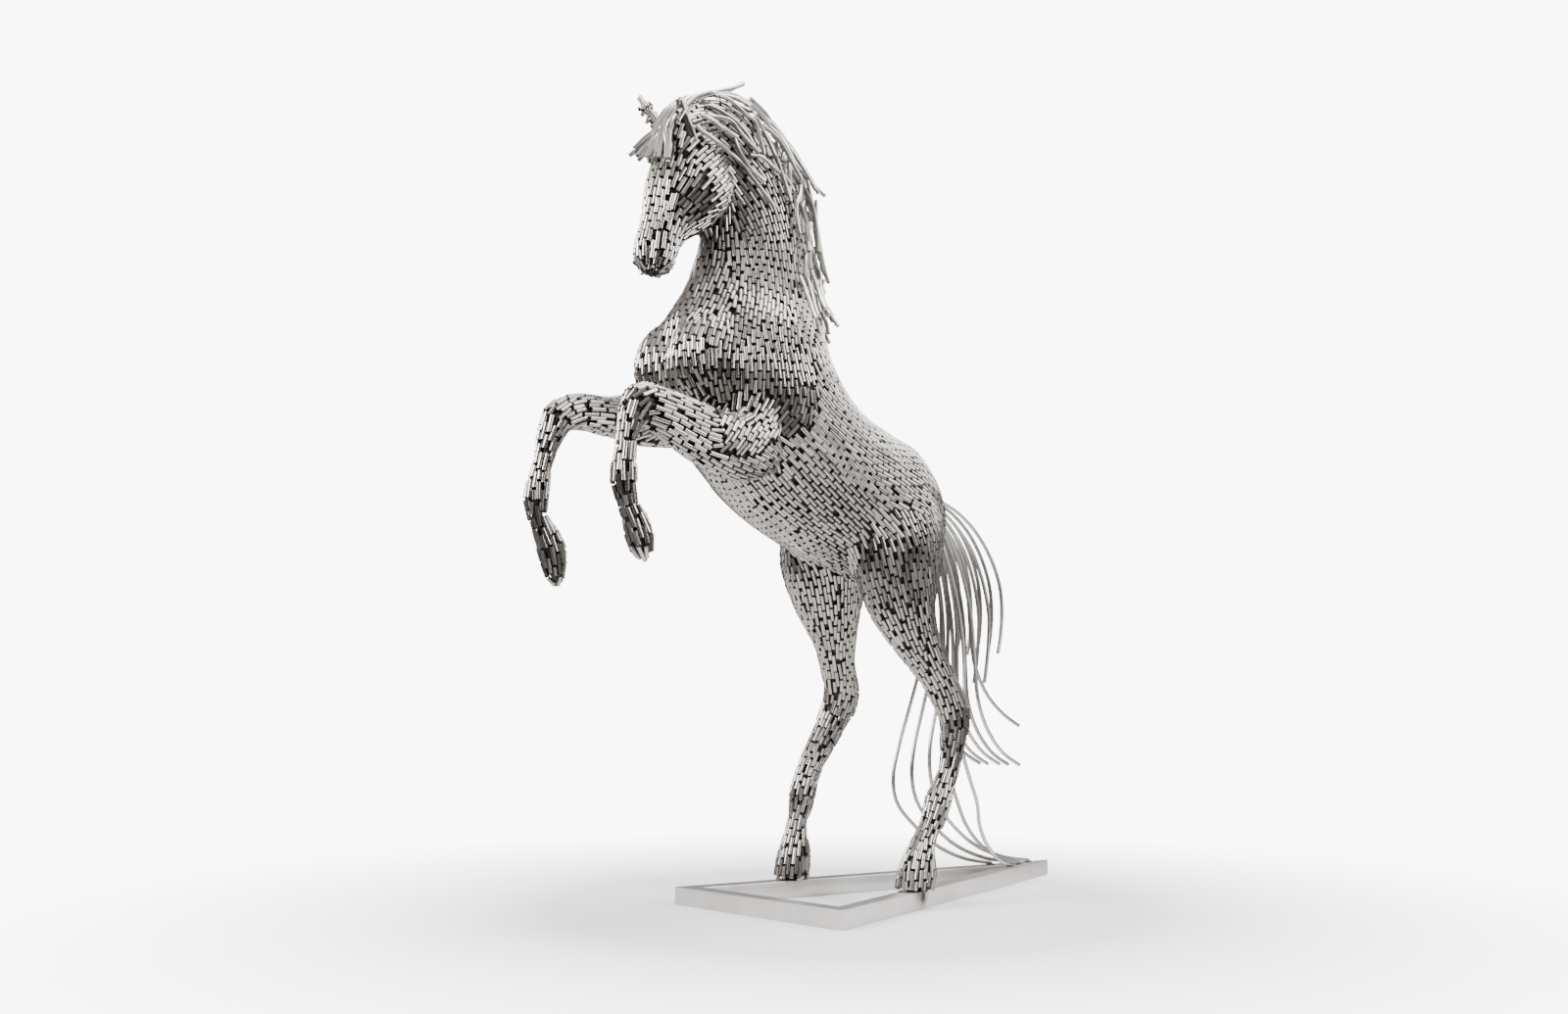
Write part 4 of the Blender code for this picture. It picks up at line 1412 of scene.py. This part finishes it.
def spotted(finish, place, reach):
    """1 near a place and 0 away from it, for a stain. Reach is the distance where it fades out."""
    ends = {0: finish.place, 1: place}
    away = finish.add("ShaderNodeVectorMath", {"operation": "DISTANCE"}, ends, "Value")
    return finish.levels(away * (1 / reach), ((0.35, 1), (1.0, 0)))


# %% [markdown]
# The short rods are stainless steel with a drawn, satin surface. Each has its own grey, from the
# tone, and patches of heat tint and dust from the welding run over many rods at once. The hole in
# a cut end and the lining are painted nearly black, with a trace of brown: painted shade for the
# dark inside.

# %% Steel of the rods


def rod_steel():
    steel = Finish("satin_rod_steel", {"Metallic": 1.0})
    tone = steel.attribute("tone")
    clouds = steel.levels(steel.noise(9, 4), ((0.35, 0), (0.7, 1)))
    fine = steel.noise(160, 3)
    grey = steel.mix(tone, (0.29, 0.27, 0.252, 1), (0.50, 0.477, 0.452, 1))
    warm = steel.mix(clouds * 0.35, grey, (0.40, 0.355, 0.32, 1))
    colour = steel.mix(steel.levels(fine, ((0.62, 0), (0.8, 1))) * 0.5, warm, (0.16, 0.14, 0.125, 1))
    roughness = 0.17 + tone * 0.10 + fine * 0.12
    bump = steel.bump(steel.noise(420, 2), 0.25, 0.0006)
    return steel.finish(Base_Color=colour, Roughness=roughness, Normal=bump)


# The hole's material is painted shade: near black with a trace of brown, for the shade inside an open pipe
# end.
def hole_painted_shade():
    dark = Finish("painted_shade_rod_hole", {"Metallic": 0.3})
    spots = dark.noise(300, 2)
    colour = dark.mix(spots, (0.012, 0.010, 0.009, 1), (0.05, 0.042, 0.036, 1))
    return dark.finish(Base_Color=colour, Roughness=0.55 + spots * 0.3)


# The lining's material is painted shade: near black with brownish spots, for the shade inside the hollow
# horse.
def lining_painted_shade():
    dark = Finish("painted_shade_inside", {"Metallic": 0.2})
    spots = dark.levels(dark.noise(45, 4), ((0.4, 0), (0.75, 1)))
    colour = dark.mix(spots, (0.022, 0.019, 0.017, 1), (0.085, 0.072, 0.063, 1))
    return dark.finish(Base_Color=colour, Roughness=0.7 + spots * 0.2, Normal=dark.bump(spots, 0.6, 0.002))


def hair_steel():
    steel = Finish("bright_bent_rod_steel", {"Metallic": 1.0})
    tone = steel.attribute("tone")
    streaks = steel.noise(60, 4)
    grey = steel.mix(tone, (0.36, 0.342, 0.322, 1), (0.56, 0.54, 0.517, 1))
    colour = steel.mix(steel.levels(streaks, ((0.55, 0), (0.85, 1))) * 0.4, grey, (0.30, 0.27, 0.25, 1))
    roughness = 0.24 + streaks * 0.12
    bump = steel.bump(steel.noise(350, 2), 0.2, 0.0004)
    return steel.finish(Base_Color=colour, Roughness=roughness, Normal=bump)


STEEL, HOLE, LINING, HAIR = rod_steel(), hole_painted_shade(), lining_painted_shade(), hair_steel()
print("materials:", [material.name for material in (STEEL, HOLE, LINING, HAIR)])

# %% [markdown]
# The base's tube was ground and brushed along its length, which leaves fine lines, and its mill
# finish shows faint pinkish clouds. The welding burnt dark streaks down its outer faces below the
# hooves and round the tail's joints.

# %% Steel of the tube
# Each burn mark: its place, and the distance where it fades out.
BURNS = [
    ((FRONT - 0.445, 0.235, 0.035), 0.035), ((FRONT - 0.36, -0.226, 0.052), 0.05),
    ((FRONT - 0.43, 0.205, 0.055), 0.06),
]
BURNS += [((float(x), float(y), 0.0508), 0.03) for x, y, _ in TAIL_WELDS]
BASE_HALF_WIDTH = 0.3355
BASE_LENGTH = 1.378


def tube_steel(name, turn):
    steel = Finish(name, {"Metallic": 1.0})
    turned = steel.add("ShaderNodeMapping", {}, {"Vector": steel.place, "Rotation": (0, 0, turn)})
    stretched = steel.add("ShaderNodeMapping", {}, {"Vector": turned, "Scale": (3, 220, 220)})
    lines = steel.add("ShaderNodeTexNoise", {}, {"Vector": stretched, "Scale": 3.0, "Detail": 4.0})
    clouds = steel.levels(steel.noise(7, 4), ((0.35, 0), (0.7, 1)))
    pale = steel.mix(clouds, (0.72, 0.70, 0.685, 1), (0.60, 0.565, 0.545, 1))
    lined = steel.mix(lines * 0.35, pale, (0.42, 0.40, 0.385, 1))
    streaks = steel.levels(steel.noise(28, 5, (1, 1, 0.3)), ((0.42, 0), (0.62, 1)))
    burnt = None
    for place, reach in BURNS:
        stain = spotted(steel, place, reach)
        burnt = stain if burnt is None else burnt.sum("MAXIMUM", stain)
    colour = steel.mix(burnt * (0.35 + streaks * 0.65), lined, (0.045, 0.038, 0.034, 1))
    roughness = 0.30 + lines * 0.14 + burnt * 0.3
    return steel.finish(Base_Color=colour, Roughness=roughness, Normal=steel.bump(lines, 0.15, 0.0004))


SIDE_TURN = math.atan2(BASE_HALF_WIDTH, BASE_LENGTH)
TUBES = {
    "base_front_rail": tube_steel("brushed_front_tube", math.pi / 2),
    "base_left_rail": tube_steel("brushed_left_tube", -SIDE_TURN),
    "base_right_rail": tube_steel("brushed_right_tube", SIDE_TURN),
}


def weld_metal():
    weld = Finish("burnt_weld", {"Metallic": 0.8})
    scale = weld.noise(140, 4)
    colour = weld.mix(scale, (0.03, 0.026, 0.024, 1), (0.22, 0.20, 0.18, 1))
    return weld.finish(Base_Color=colour, Roughness=0.45 + scale * 0.3, Normal=weld.bump(scale, 0.6, 0.001))


WELD = weld_metal()
print("burn marks on the tube:", len(BURNS))

# %% [markdown]
# Each piece now gets its finish and its place on the body. A welded sculpture has one body, so
# everything rides on root.

# %% Dressing the pieces


def dress(piece, finishes):
    piece.data.materials.clear()
    for finish in finishes:
        piece.data.materials.append(finish)
    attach(piece, "root")


bpy.data.objects.remove(rod_model)
for piece in skin_pieces + ear_pieces:
    dress(piece, (STEEL, HOLE))
for piece in hair_pieces:
    dress(piece, (HAIR, HOLE))
for piece, node in zip(rail_pieces, RAIL_NODES):
    dress(piece, (TUBES[node],))
# The ear cones and the lining take the painted shade.
for piece in ear_shade_cones + [lining]:
    dress(piece, (LINING,))
dress(weld_beads, (WELD,))

# %% [markdown]
# The studio is plain: a pale floor that fades into a white distance, one soft light high on the
# camera's left, one on its right, one behind the horse and one overhead. Round metal shows lights
# as streaks along its length, so they are kept small against a dim sky: what the camera sees
# behind the horse is white, but what the steel mirrors is grey near the ground and brighter
# overhead.

# %% Studio
FLOOR_RADIUS = 2.4
WHITE_STRENGTH = 9
SKY_AT_GROUND = (0.14, 0.138, 0.136, 1)
SKY_OVERHEAD = (0.80, 0.80, 0.80, 1)


def make_floor():
    bpy.ops.mesh.primitive_circle_add(vertices=96, radius=FLOOR_RADIUS, fill_type="NGON", location=(0, 0, 0))
    floor = bpy.context.object
    floor.name = "floor"
    pale = Finish("pale_floor", {"Roughness": 0.9})
    white = pale.mix(pale.noise(0.8), (0.76, 0.76, 0.76, 1), (0.80, 0.80, 0.80, 1))
    fade = spotted(pale, (0, 0, 0), FLOOR_RADIUS)
    floor.data.materials.append(pale.finish(Base_Color=white, Alpha=fade))


def add_light(name, place, size, power):
    """A soft square light that faces the horse's middle."""
    toward = Vector((0, 0, 1.1)) - Vector(place)
    turn = toward.to_track_quat("-Z", "Y").to_euler()
    bpy.ops.object.light_add(type="AREA", location=place, rotation=turn)
    light = bpy.context.object
    light.name = name
    light.data.shape = "SQUARE"
    light.data.size = size
    light.data.energy = power


def make_world():
    """White to the camera; to everything else a sky that is dim at the ground and bright overhead."""
    world = bpy.data.worlds.new("pale_studio")
    world.use_nodes = True
    nodes, links = world.node_tree.nodes, world.node_tree.links
    seen_white = nodes["Background"]
    seen_white.inputs["Color"].default_value = (1, 1, 1, 1)
    seen_white.inputs["Strength"].default_value = WHITE_STRENGTH
    sky, place = nodes.new("ShaderNodeBackground"), nodes.new("ShaderNodeTexCoord")
    split, shade = nodes.new("ShaderNodeSeparateXYZ"), nodes.new("ShaderNodeValToRGB")
    shade.color_ramp.elements[0].color = SKY_AT_GROUND
    shade.color_ramp.elements[1].color = SKY_OVERHEAD
    path, mixed = nodes.new("ShaderNodeLightPath"), nodes.new("ShaderNodeMixShader")
    links.new(place.outputs["Generated"], split.inputs[0])
    links.new(split.outputs["Z"], shade.inputs[0])
    links.new(shade.outputs[0], sky.inputs["Color"])
    links.new(path.outputs["Is Camera Ray"], mixed.inputs[0])
    links.new(sky.outputs[0], mixed.inputs[1])
    links.new(seen_white.outputs[0], mixed.inputs[2])
    links.new(mixed.outputs[0], nodes["World Output"].inputs["Surface"])
    bpy.context.scene.world = world


make_floor()
add_light("key_light", (3.8, -1.0, 3.2), 2.3, 480)
add_light("side_light", (-1.4, 4.6, 3.0), 1.9, 250)
add_light("back_light", (-4.0, 1.0, 3.4), 2.2, 200)
add_light("top_light", (-0.4, 0.6, 5.0), 2.4, 240)
make_world()
